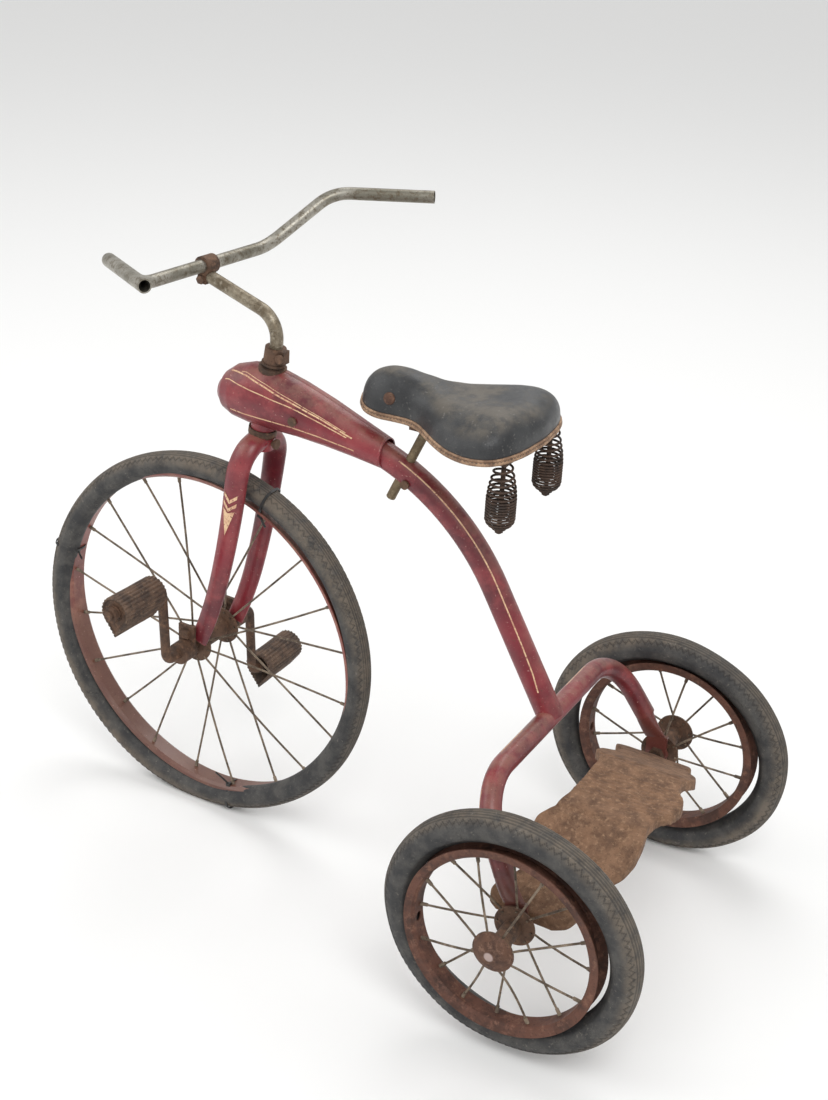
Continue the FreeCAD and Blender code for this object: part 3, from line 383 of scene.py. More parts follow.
def grid_faces(rows, columns, close_rows=False, close_columns=False, first=0):
    """Quads of a rows by columns grid of points, in row order."""
    faces = []
    for i in range(rows if close_rows else rows - 1):
        below = (i + 1) % rows
        for j in range(columns if close_columns else columns - 1):
            beside = (j + 1) % columns
            faces.append((first + i * columns + j, first + below * columns + j,
                          first + below * columns + beside, first + i * columns + beside))
    return faces


def join(parts):
    """One point and face list from several."""
    points, faces, count = [], [], 0
    for part_points, part_faces in parts:
        points.append(np.asarray(part_points, float))
        faces += [tuple(i + count for i in f) for f in part_faces]
        count += len(part_points)
    return np.vstack(points), faces


def rod(path, radius, sides=10):
    """Round bar along points; radius is one number or one for each point."""
    path = np.asarray(path, float)
    radii = np.broadcast_to(np.asarray(radius, float), (len(path),))
    tangents = np.gradient(path, axis=0)
    tangents /= np.linalg.norm(tangents, axis=1)[:, None]
    across = np.cross(tangents[0], (0.31, 0.52, 0.79))
    angles = np.linspace(0, 2 * np.pi, sides, endpoint=False)
    rings = []
    for point, tangent, r in zip(path, tangents, radii):
        across = across - tangent * (across @ tangent)
        across /= np.linalg.norm(across)
        other = np.cross(tangent, across)
        rings.append(point + r * (np.outer(np.cos(angles), across) + np.outer(np.sin(angles), other)))
    points = np.vstack(rings)
    faces = grid_faces(len(path), sides, close_columns=True)
    faces.append(tuple(range(sides))[::-1])
    faces.append(tuple(range(len(points) - sides, len(points))))
    return points, faces


def ribbon(centres, normals, width, thickness, lift=0.12):
    """Thin painted line lying on a surface."""
    centres = np.asarray(centres, float)
    normals = np.asarray(normals, float)
    along = np.gradient(centres, axis=0)
    side = np.cross(normals, along)
    side /= np.linalg.norm(side, axis=1)[:, None]
    widths = np.broadcast_to(np.asarray(width, float), (len(centres),))[:, None] / 2
    base = centres - normals * thickness
    top = centres + normals * lift
    rows = np.stack([base - side * widths, top - side * widths * 0.8, top + side * widths * 0.8,
                     base + side * widths], axis=1)
    points = rows.reshape(-1, 3)
    faces = grid_faces(len(centres), 4, close_columns=True)
    faces += [(3, 2, 1, 0), tuple(range(len(points) - 4, len(points)))]
    return points, faces


def grid_border(rows, columns):
    """Numbers of a grid's edge points, once round."""
    loop = [(0, j) for j in range(columns)] + [(i, columns - 1) for i in range(1, rows)]
    loop += [(rows - 1, j) for j in range(columns - 2, -1, -1)] + [(i, 0) for i in range(rows - 2, 0, -1)]
    return [i * columns + j for i, j in loop]


def strip(first, second):
    """Quads between two closed loops of point numbers."""
    following = list(range(1, len(first))) + [0]
    return [(first[a], first[b], second[b], second[a]) for a, b in enumerate(following)]


def outwards_from(path):
    """Level directions out of a closed path, one for each point."""
    ahead = np.roll(path, -1, axis=0) - np.roll(path, 1, axis=0)
    out = np.stack([ahead[:, 1], -ahead[:, 0], np.zeros(len(path))], axis=1)
    out /= np.linalg.norm(out, axis=1)[:, None]
    return -out if out[0] @ (path[0] - path.mean(axis=0)) < 0 else out


def station(table, share):
    """Row of a table at a share of its length, smoothly between its stations."""
    place = share * (len(table) - 1)
    i = int(min(max(math.floor(place), 0), len(table) - 2))
    t = place - i
    before, after = table[max(i - 1, 0)], table[min(i + 2, len(table) - 1)]
    a, b = table[i], table[i + 1]
    return 0.5 * (2 * a + (b - before) * t + (2 * before - 5 * a + 4 * b - after) * t ** 2
                  + (3 * a - before - 3 * b + after) * t ** 3)


def softened(values, kernel):
    """Values averaged with their neighbours; the ends are held."""
    padded = np.pad(values, len(kernel) // 2, mode="edge")
    return np.convolve(padded, kernel / kernel.sum(), mode="valid")


def joined_piece(name, parts, material, body, slot, **options):
    points, faces = join(parts)
    return piece(name, points, faces, material, body, slot, **options)


# --- tyres
# angles round a tyre's section, closest together over the tread
PROFILE = np.radians(np.concatenate([np.arange(-31.5, 32, 1.5), np.arange(33.5, 60, 1.9),
                                     np.arange(62, 300, 7.0), np.arange(300.5, 327, 1.9)]))
TREAD_DEPTH = 0.9
RIB_PITCH = 11.5  # degrees round the section, like the next four
RIBS_END = 30
ZIGZAG_MIDDLE = 46.5
ZIGZAG_SWING = 8.5
ZIGZAG_HALF_WIDTH = 4.6
FRONT_TYRE_MIDDLE = 238.5
FRONT_SAG = ((-0.2, 2.8, -0.1, -2.0, -6.5), (5.4, 4.2, -1.4))


def sagging(sag, phi):
    """How far a tyre has moved outwards and sideways at a turn of the wheel.

    Each row of sag is a constant, then cosine and sine terms of the turn and of twice the turn.
    """
    out, side = sag
    cos, sin = np.cos(phi), np.sin(phi)
    outwards = out[0] + out[1] * cos + out[2] * sin + out[3] * np.cos(2 * phi) + out[4] * np.sin(2 * phi)
    return outwards, side[0] + side[1] * cos + side[2] * sin


def tyre(name, centre, axes, middle, section, periods, sag, material, body, replaced):
    """Rubber ring that no longer sits true on its rim."""
    count = periods * 6
    phi = np.linspace(0, 2 * np.pi, count, endpoint=False)
    outwards, lateral = sagging(sag, phi)
    radial = middle + outwards
    psi = (PROFILE + np.pi) % (2 * np.pi) - np.pi
    degrees = np.degrees(psi)
    across = np.abs(degrees)[None, :]
    ribs = TREAD_DEPTH * (0.5 + 0.5 * np.cos(2 * np.pi * degrees / RIB_PITCH)) * (np.abs(degrees) < RIBS_END)
    saw = np.abs((phi[:, None] * periods / (2 * np.pi)) % 1 - 0.5) * 4 - 1
    track = ZIGZAG_MIDDLE + ZIGZAG_SWING * saw
    zigzag = np.clip(1 - np.abs(across - track) / ZIGZAG_HALF_WIDTH, 0, 1) * (across > 33) * (across < 60)
    wall_line = 0.6 * np.exp(-((np.abs(degrees) - 84) / 4.0) ** 2)
    block = TREAD_DEPTH * np.clip((track + 2 - across) / 3, 0, 1)
    height = 0.1 + 0.6 * ribs + wall_line + block - TREAD_DEPTH * zigzag
    # share of painted shade for the rubber's colour, deepest in the rib valleys and the zigzag groove
    dip_shade = np.where(across < RIBS_END, 0.75 * (1 - ribs / TREAD_DEPTH), 0) + zigzag
    waviness = 0.25 * np.sin(5 * phi + 1.0) + 0.2 * np.sin(9 * phi)
    reach = section + height + waviness[:, None]
    base = np.where(np.abs(degrees) > 128, 0.86, 1.0)
    r = radial[:, None] + reach * np.cos(psi) * 0.985
    y = lateral[:, None] + reach * np.sin(psi) * base * 1.02
    out_x = np.cos(phi)[:, None] * r
    out_z = np.sin(phi)[:, None] * r
    points = (centre + out_x[..., None] * axes[:, 0] + out_z[..., None] * axes[:, 2]
              + y[..., None] * axes[:, 1]).reshape(-1, 3)
    points[:, 2] = np.maximum(points[:, 2], 0.1)
    ring = piece(name, points, grid_faces(count, len(PROFILE), True, True), material, body, "tyre_rubber",
                 replaced)
    # the painted shade share is stored on the points for the rubber's shader
    groove_shade = ring.data.attributes.new("groove_shade", "FLOAT", "POINT")
    groove_shade.data.foreach_set("value", np.clip(dip_shade, 0, 1).astype(np.float32).ravel())


tyre("front_tyre_rubber", FRONT_CENTRE, WHEEL_TURN, FRONT_TYRE_MIDDLE, 14.9, 168, FRONT_SAG, TYRE_FRONT,
     "front_wheel", ["front_tyre"])
tyre("rear_left_tyre_rubber", REAR_LEFT, np.eye(3), 138.3, 18.0, 104,
     ((-3.2, -4.6, 4.8, 2.6, 1.5), (-7.0, 0.9, 1.2)), TYRE_LEFT, "rear_wheel_left", ["rear_left_tyre"])
tyre("rear_right_tyre_rubber", REAR_RIGHT, np.eye(3), 138.3, 18.2, 104,
     ((0.0, 2.5, -3.8, 4.2, 3.9), (-6.1, 6.8, -0.2)), TYRE_RIGHT, "rear_wheel_right", ["rear_right_tyre"])


# --- spokes
def spokes(name, centre, axes, count, first, near_first, hub, rim, bend, body, replaced):
    """Laced spokes with a hook at the flange, a nipple at the rim and the odd bend."""
    hub_radius, hub_half = hub
    rim_radius, rim_spread = rim
    parts = []
    for i in range(count):
        angle = math.radians(first + 360 * i / count)
        side = 1 if (i % 2 == 0) == near_first else -1
        slew = math.radians(RNG.normal(0, 2.2))
        bow = RNG.normal(0, bend, 3)
        start = np.array([hub_radius * math.cos(angle - slew), side * hub_half,
                          hub_radius * math.sin(angle - slew)])
        end = np.array([rim_radius * math.cos(angle), side * rim_spread, rim_radius * math.sin(angle)])
        share = np.linspace(0, 1, 9)[:, None]
        line = start * (1 - share) + end * share + np.sin(np.pi * share) * bow
        hook = [start + (-0.5 * math.cos(angle), -side * 3.2, -0.5 * math.sin(angle)),
                start + (0, side * 0.9, 0)]
        line = np.vstack([hook, line[1:]])
        local = line @ axes.T + centre
        parts.append(rod(local, 1.4, 8))
        tip = end + (end - start) / np.linalg.norm(end - start) * 0.6
        root = end - (end - start) / np.linalg.norm(end - start) * 8.5
        nipple = np.array([root, root + (tip - root) * 0.1, tip]) @ axes.T + centre
        parts.append(rod(nipple, [1.5, 2.2, 2.4], 8))
    joined_piece(name, parts, WIRE, body, "spoke_steel", replaced=replaced)


spokes("front_wheel_spokes", FRONT_CENTRE, WHEEL_TURN, 20, 7, True, (21.5, 28.9), (220.6, 4.0), 1.2,
       "front_wheel", ["front_spokes"])
spokes("rear_left_wheel_spokes", REAR_LEFT, np.eye(3), 16, 1, False, (21.5, 26.9), (106.2, 3.0), 1.6,
       "rear_wheel_left", ["rear_left_spokes"])
spokes("rear_right_wheel_spokes", REAR_RIGHT, np.eye(3), 16, 9, True, (21.5, 26.9), (106.2, 3.0), 1.2,
       "rear_wheel_right", ["rear_right_spokes"])


# --- ties round the front tyre
RIM_BED = 219.2  # inner side of the strap, from the front axle
STRAP_HALF = 1.7


def tie(angle, tail_angle, tail_length, side_of_head):
    """Thin strap round tyre and rim with its head and cut tail."""
    phi = math.radians(angle)
    out = np.array([math.cos(phi), 0, math.sin(phi)])
    tangent = np.array([-math.sin(phi), 0, math.cos(phi)])
    outwards, lateral = sagging(FRONT_SAG, phi)
    top, bottom = FRONT_TYRE_MIDDLE + outwards + 17.4, RIM_BED
    half_out, half_in = 17.6, 12.5
    turns = np.linspace(0, 2 * np.pi, 49)[:-1]
    sin, cos = np.sin(turns), np.cos(turns)
    middle, reach = (top + bottom) / 2, (top - bottom) / 2
    r = middle + reach * np.sign(sin) * np.abs(sin) ** 0.75
    width = np.where(sin > 0, half_out, half_out + (half_in - half_out) * -sin)
    y = lateral * (r - bottom) / (top - bottom) + width * np.sign(cos) * np.abs(cos) ** 0.75
    loop = out * r[:, None] + np.array([0, 1, 0]) * y[:, None]
    normal = np.cross(np.gradient(loop, axis=0), tangent)
    normal /= np.linalg.norm(normal, axis=1)[:, None]
    edge = tangent * STRAP_HALF
    rows = np.stack([loop - edge, loop + edge, loop + edge + normal * 1.1, loop - edge + normal * 1.1],
                    axis=1).reshape(-1, 3)
    parts = [(rows, grid_faces(len(loop), 4, True, True))]
    head_at = out * (bottom + 1.0) + np.array([0, side_of_head * 9.0, 0])
    corners = np.array([(a, b, c) for a in (-3, 3) for b in (-2.6, 2.6) for c in (-2.2, 2.2)])
    head = (head_at + np.outer(corners[:, 0], tangent) + np.outer(corners[:, 1], (0, 1, 0))
            + np.outer(corners[:, 2], out))
    parts.append((head, [(0, 1, 3, 2), (4, 6, 7, 5), (0, 4, 5, 1), (2, 3, 7, 6), (0, 2, 6, 4), (1, 5, 7, 3)]))
    lean = math.radians(tail_angle)
    way = -out * math.cos(lean) + tangent * math.sin(lean) + np.array([0, 0.35 * side_of_head, 0])
    share = np.linspace(0, 1, 8)[:, None]
    tail = head_at + way * share * tail_length + tangent * (share ** 2) * 4
    flat = np.cross(way, tangent)
    flat /= np.linalg.norm(flat)
    normals = np.tile(flat, (len(tail), 1))
    parts.append(ribbon(tail, normals, 3.2, 0.5, 0.6))
    points, faces = join(parts)
    return points @ WHEEL_TURN.T + FRONT_CENTRE, faces


joined_piece("cable_ties", [tie(113.5, 60, 12, 1), tie(16, -35, 15, 1), tie(-100, 25, 22, 1)], TIE,
             "front_wheel", "strap_plastic", replaced=["tyre_straps"], smooth=False)


# --- pedals
CRANK_ANGLE = math.radians(87.3)
THROW = np.array([math.cos(CRANK_ANGLE), 0, math.sin(CRANK_ANGLE)])
MEAN_THROW = 103.5
THROW_DIFFERENCE = 3.5
PEDAL_START = 88.0
PEDAL_RISE = 1.9
COVER_RADIUS = 20.0
COVER_DROP = 33.0
COVER_RIB_PITCH = 5.2


def pedal_cover(side, sign):
    """Ribbed rubber cover with a teardrop section."""
    throw = MEAN_THROW + sign * THROW_DIFFERENCE
    corner = THROW * sign * throw + np.array([0, sign * PEDAL_START, 0])
    rise = turn((1, 0, 0), sign * PEDAL_RISE)
    radius, drop = COVER_RADIUS, COVER_DROP
    spread = math.acos(radius / drop)
    arc = np.linspace(spread, 2 * np.pi - spread, 200)
    outline = np.stack([radius * np.sin(arc), -radius * np.cos(arc)], axis=1)
    tip = np.array([0.0, -drop])
    flank = np.linspace(0, 1, 41)[1:-1, None]
    outline = np.vstack([outline, outline[-1] * (1 - flank) + tip * flank, tip[None, :],
                         tip * (1 - flank) + outline[0] * flank])
    steps = np.linalg.norm(np.diff(np.vstack([outline, outline[:1]]), axis=0), axis=1)
    run = np.concatenate([[0], np.cumsum(steps)])
    total = run[-1]
    ribs = round(total / COVER_RIB_PITCH)
    normal = np.roll(outline, -1, axis=0) - np.roll(outline, 1, axis=0)
    normal = np.stack([-normal[:, 1], normal[:, 0]], axis=1)
    normal /= np.linalg.norm(normal, axis=1)[:, None]
    if (normal[50] @ outline[50]) < 0:
        normal = -normal
    wave = 0.5 + 0.5 * np.cos(2 * np.pi * ribs * run[:-1] / total)
    corrugation = 1.5 * wave ** 0.7 - 0.9
    outer = outline + normal * corrugation[:, None]
    inner = outline - normal * 2.6
    stations = [(14.0, 0.97), (14.8, 1.0), (33, 1.0), (52, 0.99), (71, 1.0), (89.2, 1.0), (90.0, 0.97)]
    rings = [(along, outer * grow) for along, grow in stations]
    rings += [(90.0, inner), (14.0, inner)]
    points = []
    for along, ring in rings:
        local = np.stack([ring[:, 0], np.full(len(ring), sign * along), ring[:, 1]], axis=1)
        points.append(local @ rise.T + corner)
    points = np.vstack(points) @ WHEEL_TURN.T + FRONT_CENTRE
    faces = grid_faces(len(rings), len(outline), True, True)
    piece("pedal_%s_cover" % side, points, faces, PEDAL, "pedal_%s" % side, "pedal_cover",
          ["pedal_%s_tread" % side])


pedal_cover("left", 1)
pedal_cover("right", -1)


# --- step plate
DECK_HALF = 190
DECK_SHEET = 1.9
DECK_TOP = 233.5
# sideways place and forward place of the plate's two long edges, from the middle outwards
FRONT_EDGE = [(0, 17), (40, 19), (66, 24), (84, 38), (104, 38), (122, 28), (150, 26), (168, 42), (180, 47),
              (186, 44), (190, 30)]
REAR_EDGE = [(0, -105), (18, -101), (34, -88), (52, -85), (74, -89), (94, -89), (112, -83), (132, -68),
             (150, -56), (172, -58), (186, -50), (190, -30)]


def smooth_edge(table, y):
    knots = np.array(table, float)
    places = np.linspace(0, DECK_HALF, 381)
    soft = softened(np.interp(places, knots[:, 0], knots[:, 1]), np.hanning(31))
    return np.interp(np.abs(y), places, soft)


def deck_height(x, y):
    """Arched top with lengthwise ribs in the middle, a crease and years of dents."""
    side = np.abs(y)
    z = 230.4 - 0.5 * np.maximum(0, np.sqrt((side - 60) ** 2 + 60) / 2 + (side - 60) / 2)
    ribs = 1.3 * np.abs(np.cos(np.pi * y / 7.2)) * np.clip((37 - side) / 6, 0, 1)
    crease = 1.6 * np.exp(-((side - 66) / 3.2) ** 2)
    dents = 0.8 * np.sin(x / 19 + 0.4) * np.sin(y / 31 + 1.0) + 0.35 * np.sin(x / 7.3 + y / 11)
    return z + ribs - crease + dents - 0.4


def step_plate():
    """Domed plate with a turned-down skirt and an underside."""
    rows = np.linspace(-DECK_HALF, DECK_HALF, 306)
    columns = np.linspace(0, 1, 48)
    grid = []
    for y in rows:
        front, back = smooth_edge(FRONT_EDGE, y), smooth_edge(REAR_EDGE, y)
        x = back + (front - back) * columns
        across = np.full_like(x, y)
        grid.append(np.stack([x, across, deck_height(x, across)], axis=1))
    count, width = len(rows), len(columns)
    top = np.vstack(grid)
    border = grid_border(count, width)
    edge = top[border]
    outward = outwards_from(edge)
    slope = np.where(np.abs(edge[:, 1]) > 183, 0.35, 0.12)[:, None]
    skirt = []
    for drop, away in ((0.7, 0.5), (1.9, 0.9), (5.0, 1.1), (9.5, 1.1), (13.6, 1.2)):
        skirt.append(edge + outward * (away + slope * drop * 0.1) - np.array([0, 0, drop]))
    inner = [ring - outward * DECK_SHEET for ring in reversed(skirt[1:])]
    under = top - np.array([0, 0, DECK_SHEET])
    middle = np.array([-25.0, 0])
    under[:, :2] = middle + (under[:, :2] - middle) * (0.985, 0.995)
    faces = grid_faces(count, width)
    loops = [border]
    for k in range(len(skirt) + len(inner)):
        start = len(top) + k * len(edge)
        loops.append(list(range(start, start + len(edge))))
    under_start = loops[-1][-1] + 1
    loops.append([i + under_start for i in border])
    for first, second in zip(loops, loops[1:]):
        faces += strip(first, second)
    faces += [tuple(reversed([i + under_start for i in f])) for f in grid_faces(count, width)]
    points = np.vstack([top] + skirt + inner + [under])
    points[:, 2] = np.minimum(points[:, 2], DECK_TOP)
    piece("step_plate", points, faces, DECK, "frame", "deck_steel", ["step_deck"])


step_plate()


# --- saddle
# forward place, half width of the rim, height of the rim, height of the crown, fullness
SADDLE = np.array([
    (338.5, 5, 646, 652, 2.0), (336, 13, 643, 662, 2.1), (331, 20, 640, 671, 2.2), (322, 25, 637, 679, 2.3),
    (306, 28.5, 636, 685, 2.4), (285, 29.0, 637, 686, 2.4), (265, 31.0, 638, 684, 2.3),
    (247, 40, 639, 682, 2.15), (228, 56, 639.5, 680, 2.1), (208, 73, 640, 679, 2.1), (186, 87, 640, 679, 2.2),
    (164, 93.5, 640, 681, 2.3), (146, 92, 640.5, 682, 2.4), (131, 83, 641, 680, 2.4),
    (120, 66, 642, 675, 2.3), (112.5, 42, 643, 668, 2.2), (109, 16, 644, 661, 2.0)])


def closing(row, share, ahead):
    """Row drawn in towards the rim to close an end of the cover."""
    foot = np.array([row[0, 0] + ahead * 2.0, 0, row[0, 2]])
    return foot + (row - foot) * (1, share, share) + np.array([ahead * 1.5 * (1 - share), 0, 0])


def saddle_cover():
    """Moulded cover: domed over the pan, hollowed a little behind the horn."""
    lengthwise, crosswise = 97, 61
    rows = []
    for i in range(lengthwise):
        x, half, low, crown, full = station(SADDLE, i / (lengthwise - 1))
        angles = np.linspace(0, math.pi, crosswise)
        y = half * np.sign(np.cos(angles)) * np.abs(np.cos(angles)) ** (2 / full)
        z = low + (crown - low) * np.abs(np.sin(angles)) ** (2 / full)
        hollow = 5.0 * math.exp(-((x - 195) / 48) ** 2) * np.exp(-(y / 26) ** 2)
        cheeks = 3.0 * math.exp(-((x - 160) / 42) ** 2) * np.exp(-((np.abs(y) - 50) / 24) ** 2)
        wrinkle = 0.35 * np.sin(x / 5.5 + y / 9) * math.exp(-((x - 255) / 34) ** 2)
        lift = (np.sin(angles) > 0.25)
        rows.append(np.stack([np.full_like(y, x), y, z + (cheeks - hollow + wrinkle) * lift], axis=1))
    rows = [closing(rows[0], t, 1) for t in (0.05, 0.4, 0.75)] + rows
    rows += [closing(rows[-1], t, -1) for t in (0.75, 0.4, 0.05)]
    lengthwise += 6
    top = np.array(rows)
    flat = top.reshape(-1, 3)
    inner = flat.copy()
    inner[:, 2] -= 3.0
    inner[:, :2] = (218, 0) + (inner[:, :2] - (218, 0)) * (0.97, 0.95)
    count = len(flat)
    faces = grid_faces(lengthwise, crosswise)
    faces += [tuple(reversed([k + count for k in f])) for f in grid_faces(lengthwise, crosswise)]
    border = grid_border(lengthwise, crosswise)
    faces += strip(border, [i + count for i in border])
    cover = piece("saddle_leather_cover", np.vstack([flat, inner]), faces, LEATHER, "saddle",
                  "saddle_leather", ["saddle_cover"])
    smooth = cover.modifiers.new("smooth", "SUBSURF")
    smooth.levels = smooth.render_levels = 1
    return top


def saddle_rim(top):
    """Closed outline of the cover's lower edge, front to back on the left, then round."""
    return np.vstack([top[:, 0, :], top[::-1, -1, :]])


def resample(loop, count):
    closed = np.vstack([loop, loop[:1]])
    steps = np.concatenate([[0], np.cumsum(np.linalg.norm(np.diff(closed, axis=0), axis=1))])
    places = np.linspace(0, steps[-1], count, endpoint=False)
    return np.stack([np.interp(places, steps, closed[:, k]) for k in range(3)], axis=1)


def binding_band(outline, shift, low, high, thick):
    """Band of folded edging that runs round the cover's lower edge."""
    out = outwards_from(outline)
    profile = [(shift, high), (shift + thick * 0.7, high + 0.1), (shift + thick, (high + low) / 2),
               (shift + thick * 0.75, low + 0.2), (shift, low), (shift - 1.5, low + 0.4),
               (shift - 1.5, high - 0.4)]
    rows = np.stack([outline + out * a + np.array([0, 0, b]) for a, b in profile], axis=1)
    return rows.reshape(-1, 3), grid_faces(len(outline), len(profile), True, True)


def saddle_outline(top):
    """Even, slightly softened points round the cover's lower edge."""
    outline = resample(saddle_rim(top), 420)
    kernel = np.hanning(11)
    kernel /= kernel.sum()
    wrapped = np.vstack([outline[-5:], outline, outline[:5]])
    return np.stack([np.convolve(wrapped[:, k], kernel, mode="valid") for k in range(3)], axis=1)


def stitches(outline, count):
    """Small raised stitches along the binding."""
    path = resample(outline, count * 2)
    out = outwards_from(path)
    places = path + out * 1.9 + np.array([0, 0, -1.0])
    parts = []
    for i in range(0, count * 2, 2):
        start, end = places[i], places[(i + 1) % (count * 2)]
        raised = out[i] * 0.3
        parts.append(rod([start, start * 0.7 + end * 0.3 + raised, start * 0.3 + end * 0.7 + raised, end],
                         0.35, 5))
    return parts


outline = saddle_outline(saddle_cover())
joined_piece("saddle_binding", [binding_band(outline, -0.4, -5.2, -0.6, 3.2),
                                binding_band(outline, -0.8, -0.4, 2.2, 2.8)],
             BINDING, "saddle", "saddle_leather")
joined_piece("saddle_stitching", stitches(outline, 150), LEATHER, "saddle", "saddle_leather")


def dome(centre, way, radius, height, material, name, body, slot):
    """Low domed rivet head."""
    way = np.array(way, float) / np.linalg.norm(way)
    a = np.cross(way, (0.2, 0.1, 0.97))
    a /= np.linalg.norm(a)
    b = np.cross(way, a)
    rings = []
    turns = np.linspace(0, 2 * np.pi, 28, endpoint=False)
    circle = np.outer(np.cos(turns), a) + np.outer(np.sin(turns), b)
    for share in (0.0, 0.35, 0.62, 0.82, 0.95, 1.0, 1.0):
        lift = height * math.sqrt(1 - share ** 2) if len(rings) < 6 else -1.2
        rings.append(centre + way * lift + circle * max(radius * share, 0.05))
    piece(name, np.vstack(rings), grid_faces(len(rings), 28, close_columns=True), material, body, slot)


for side, sign in (("left", 1), ("right", -1)):
    dome(np.array([293.0, sign * 27.6, 657.5]), (0, sign, 0.22), 7.4, 2.4, CAP, "saddle_rivet_%s" % side,
         "saddle", "rusty_steel")


# --- lining on shell, main tube and fork
# forward place, height of the middle, half width, half height of the head shell
SHELL = np.array([(306.5, 576, 19.0, 19.2), (345, 586, 22.5, 23.6), (385, 596, 26, 29.4),
                  (425, 604, 29, 34.6), (462, 609, 31, 40), (492, 609.5, 30, 39.5),
                  (516, 607, 26, 33.5), (531, 604, 19, 24), (538, 602.5, 11, 14)])
SHELL_SOFT = SHELL.copy()
SHELL_SOFT[1:-1, 1:] = 0.12 * SHELL[:-2, 1:] + 0.76 * SHELL[1:-1, 1:] + 0.12 * SHELL[2:, 1:]
SHELL_TAIL = 306.5
SHELL_NOSE = 538
SHELL_SHEET = 1.6


def shell_at(x):
    """Middle height and half sizes of the head shell at one place, easing between stations."""
    return [np.interp(x, SHELL[:, 0], SHELL_SOFT[:, k]) for k in (1, 2, 3)]


def head_shell(side, sign):
    """One pressed half of the shell: outer and inner skin with its edges."""
    nose = 500 + 41 * np.sin(np.linspace(0.03, np.pi / 2, 26))
    places = np.concatenate([np.linspace(SHELL_TAIL, 500, 60), nose])
    steps = 41
    angles = np.linspace(-np.pi / 2, np.pi / 2, steps)
    swell = 1 + 0.018 * np.exp(-(np.abs(angles) / 0.10) ** 2)
    rows = []
    for x in places:
        middle, half_y, half_z = shell_at(min(x, SHELL_NOSE))
        if x > SHELL_NOSE:
            close = math.sqrt(max(0.0, 1 - ((x - SHELL_NOSE) / 3.1) ** 2))
            half_y, half_z = half_y * close + 0.2, half_z * close + 0.2
        forward = np.full(steps, x)
        outer = np.stack([forward, sign * (half_y * np.cos(angles) * swell),
                          middle + half_z * np.sin(angles)], axis=1)
        thin_y, thin_z = max(half_y - SHELL_SHEET, 0.1), max(half_z - SHELL_SHEET, 0.1)
        inner = np.stack([forward, sign * thin_y * np.cos(angles), middle + thin_z * np.sin(angles)], axis=1)
        rows.append(np.vstack([outer, inner[::-1]]))
    count = 2 * steps
    faces = grid_faces(len(rows), count, close_columns=True)
    last = (len(rows) - 1) * count
    for k in range(steps - 1):
        faces.append((k, count - 1 - k, count - 2 - k, k + 1))
        faces.append((last + k, last + k + 1, last + count - 2 - k, last + count - 1 - k))
    piece("head_shell_%s_skin" % side, np.vstack(rows), faces, MAROON, "frame", "frame_paint",
          ["head_shell_%s" % side])


head_shell("left", 1)
head_shell("right", -1)


def shell_line(table, width, sign):
    """Painted line on the head shell; table rows are forward place and angle above the side."""
    table = np.array(sorted(table), float)
    x = np.linspace(table[0, 0], table[-1, 0], 90)
    angle = np.radians(np.interp(x, table[:, 0], table[:, 1]))
    angle = softened(angle, np.ones(13))
    middle, half_y, half_z = shell_at(x)
    centres = np.stack([x, sign * half_y * np.cos(angle) * 1.004, middle + half_z * np.sin(angle)], axis=1)
    normals = np.stack([np.zeros_like(x), sign * np.cos(angle) / half_y, np.sin(angle) / half_z], axis=1)
    normals /= np.linalg.norm(normals, axis=1)[:, None]
    return ribbon(centres, normals, width, 0.5, 0.35)


def snap_lines(name, lines, target_names, body):
    """Lays painted lines on CAD surfaces: each point is moved onto the nearest surface."""
    targets = [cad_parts[n] for n in target_names]
    parts = []
    for centres, normals, width in lines:
        found = []
        for point, normal in zip(centres, normals):
            metres = Vector(placed(point + normal * 6))
            best = None
            for target in targets:
                ok, where = target.closest_point_on_mesh(metres)[:2]
                gap = (where - metres).length
                if ok and (best is None or gap < best[0]):
                    best = (gap, where)
            found.append(np.array(best[1]) / MM - (REAR_AXLE, 0, 0))
        parts.append(ribbon(np.array(found), np.array(normals), width, 0.4, 0.2))
    joined_piece(name, parts, CREAM, body, "frame_paint")


# forward places and angles above the side of each painted line, and its width
SHELL_LINES = [
    ([(517, 63), (500, 50), (470, 36), (443, 29), (413, 26), (380, 24), (343, 18)], 2.1),
    ([(500, 57), (470, 42), (443, 35), (413, 31), (380, 28), (352, 24)], 0.9),
    ([(523, 43), (508, 31), (493, 23), (457, 17), (420, 18), (393, 16), (350, 13)], 1.5),
    ([(512, -30), (480, -30), (440, -27), (403, -23), (367, -20), (340, -16)], 1.5)]
joined_piece("shell_lining",
             [shell_line(table, width, sign) for sign in (1, -1) for table, width in SHELL_LINES],
             CREAM, "frame", "frame_paint")


def backbone(s):
    """Point and upward normal of the main tube's centreline, s millimetres from the head."""
    start, corner, end = np.array([474, 608.0]), np.array([221.9, 560.8]), np.array([68.2, 295.4])
    radius = 293.0
    first = (corner - start) / np.linalg.norm(corner - start)
    last = (end - corner) / np.linalg.norm(end - corner)
    bend = math.acos(first @ last)
    cut = radius * math.tan(bend / 2)
    enter = corner - first * cut
    before = np.linalg.norm(enter - start)
    up = np.array([-first[1], first[0]]) * (1 if first[0] > 0 else -1)
    centre = enter - up * radius
    turned = min(max(s - before, 0), radius * bend) / radius
    spun = np.array([up[0] * math.cos(turned) - up[1] * math.sin(turned),
                     up[0] * math.sin(turned) + up[1] * math.cos(turned)])
    point = centre + spun * radius
    run = np.array([-spun[1], spun[0]])
    if s < before:
        point = start + first * s
    elif s > before + radius * bend:
        point = point + run * (s - before - radius * bend)
    return point, spun


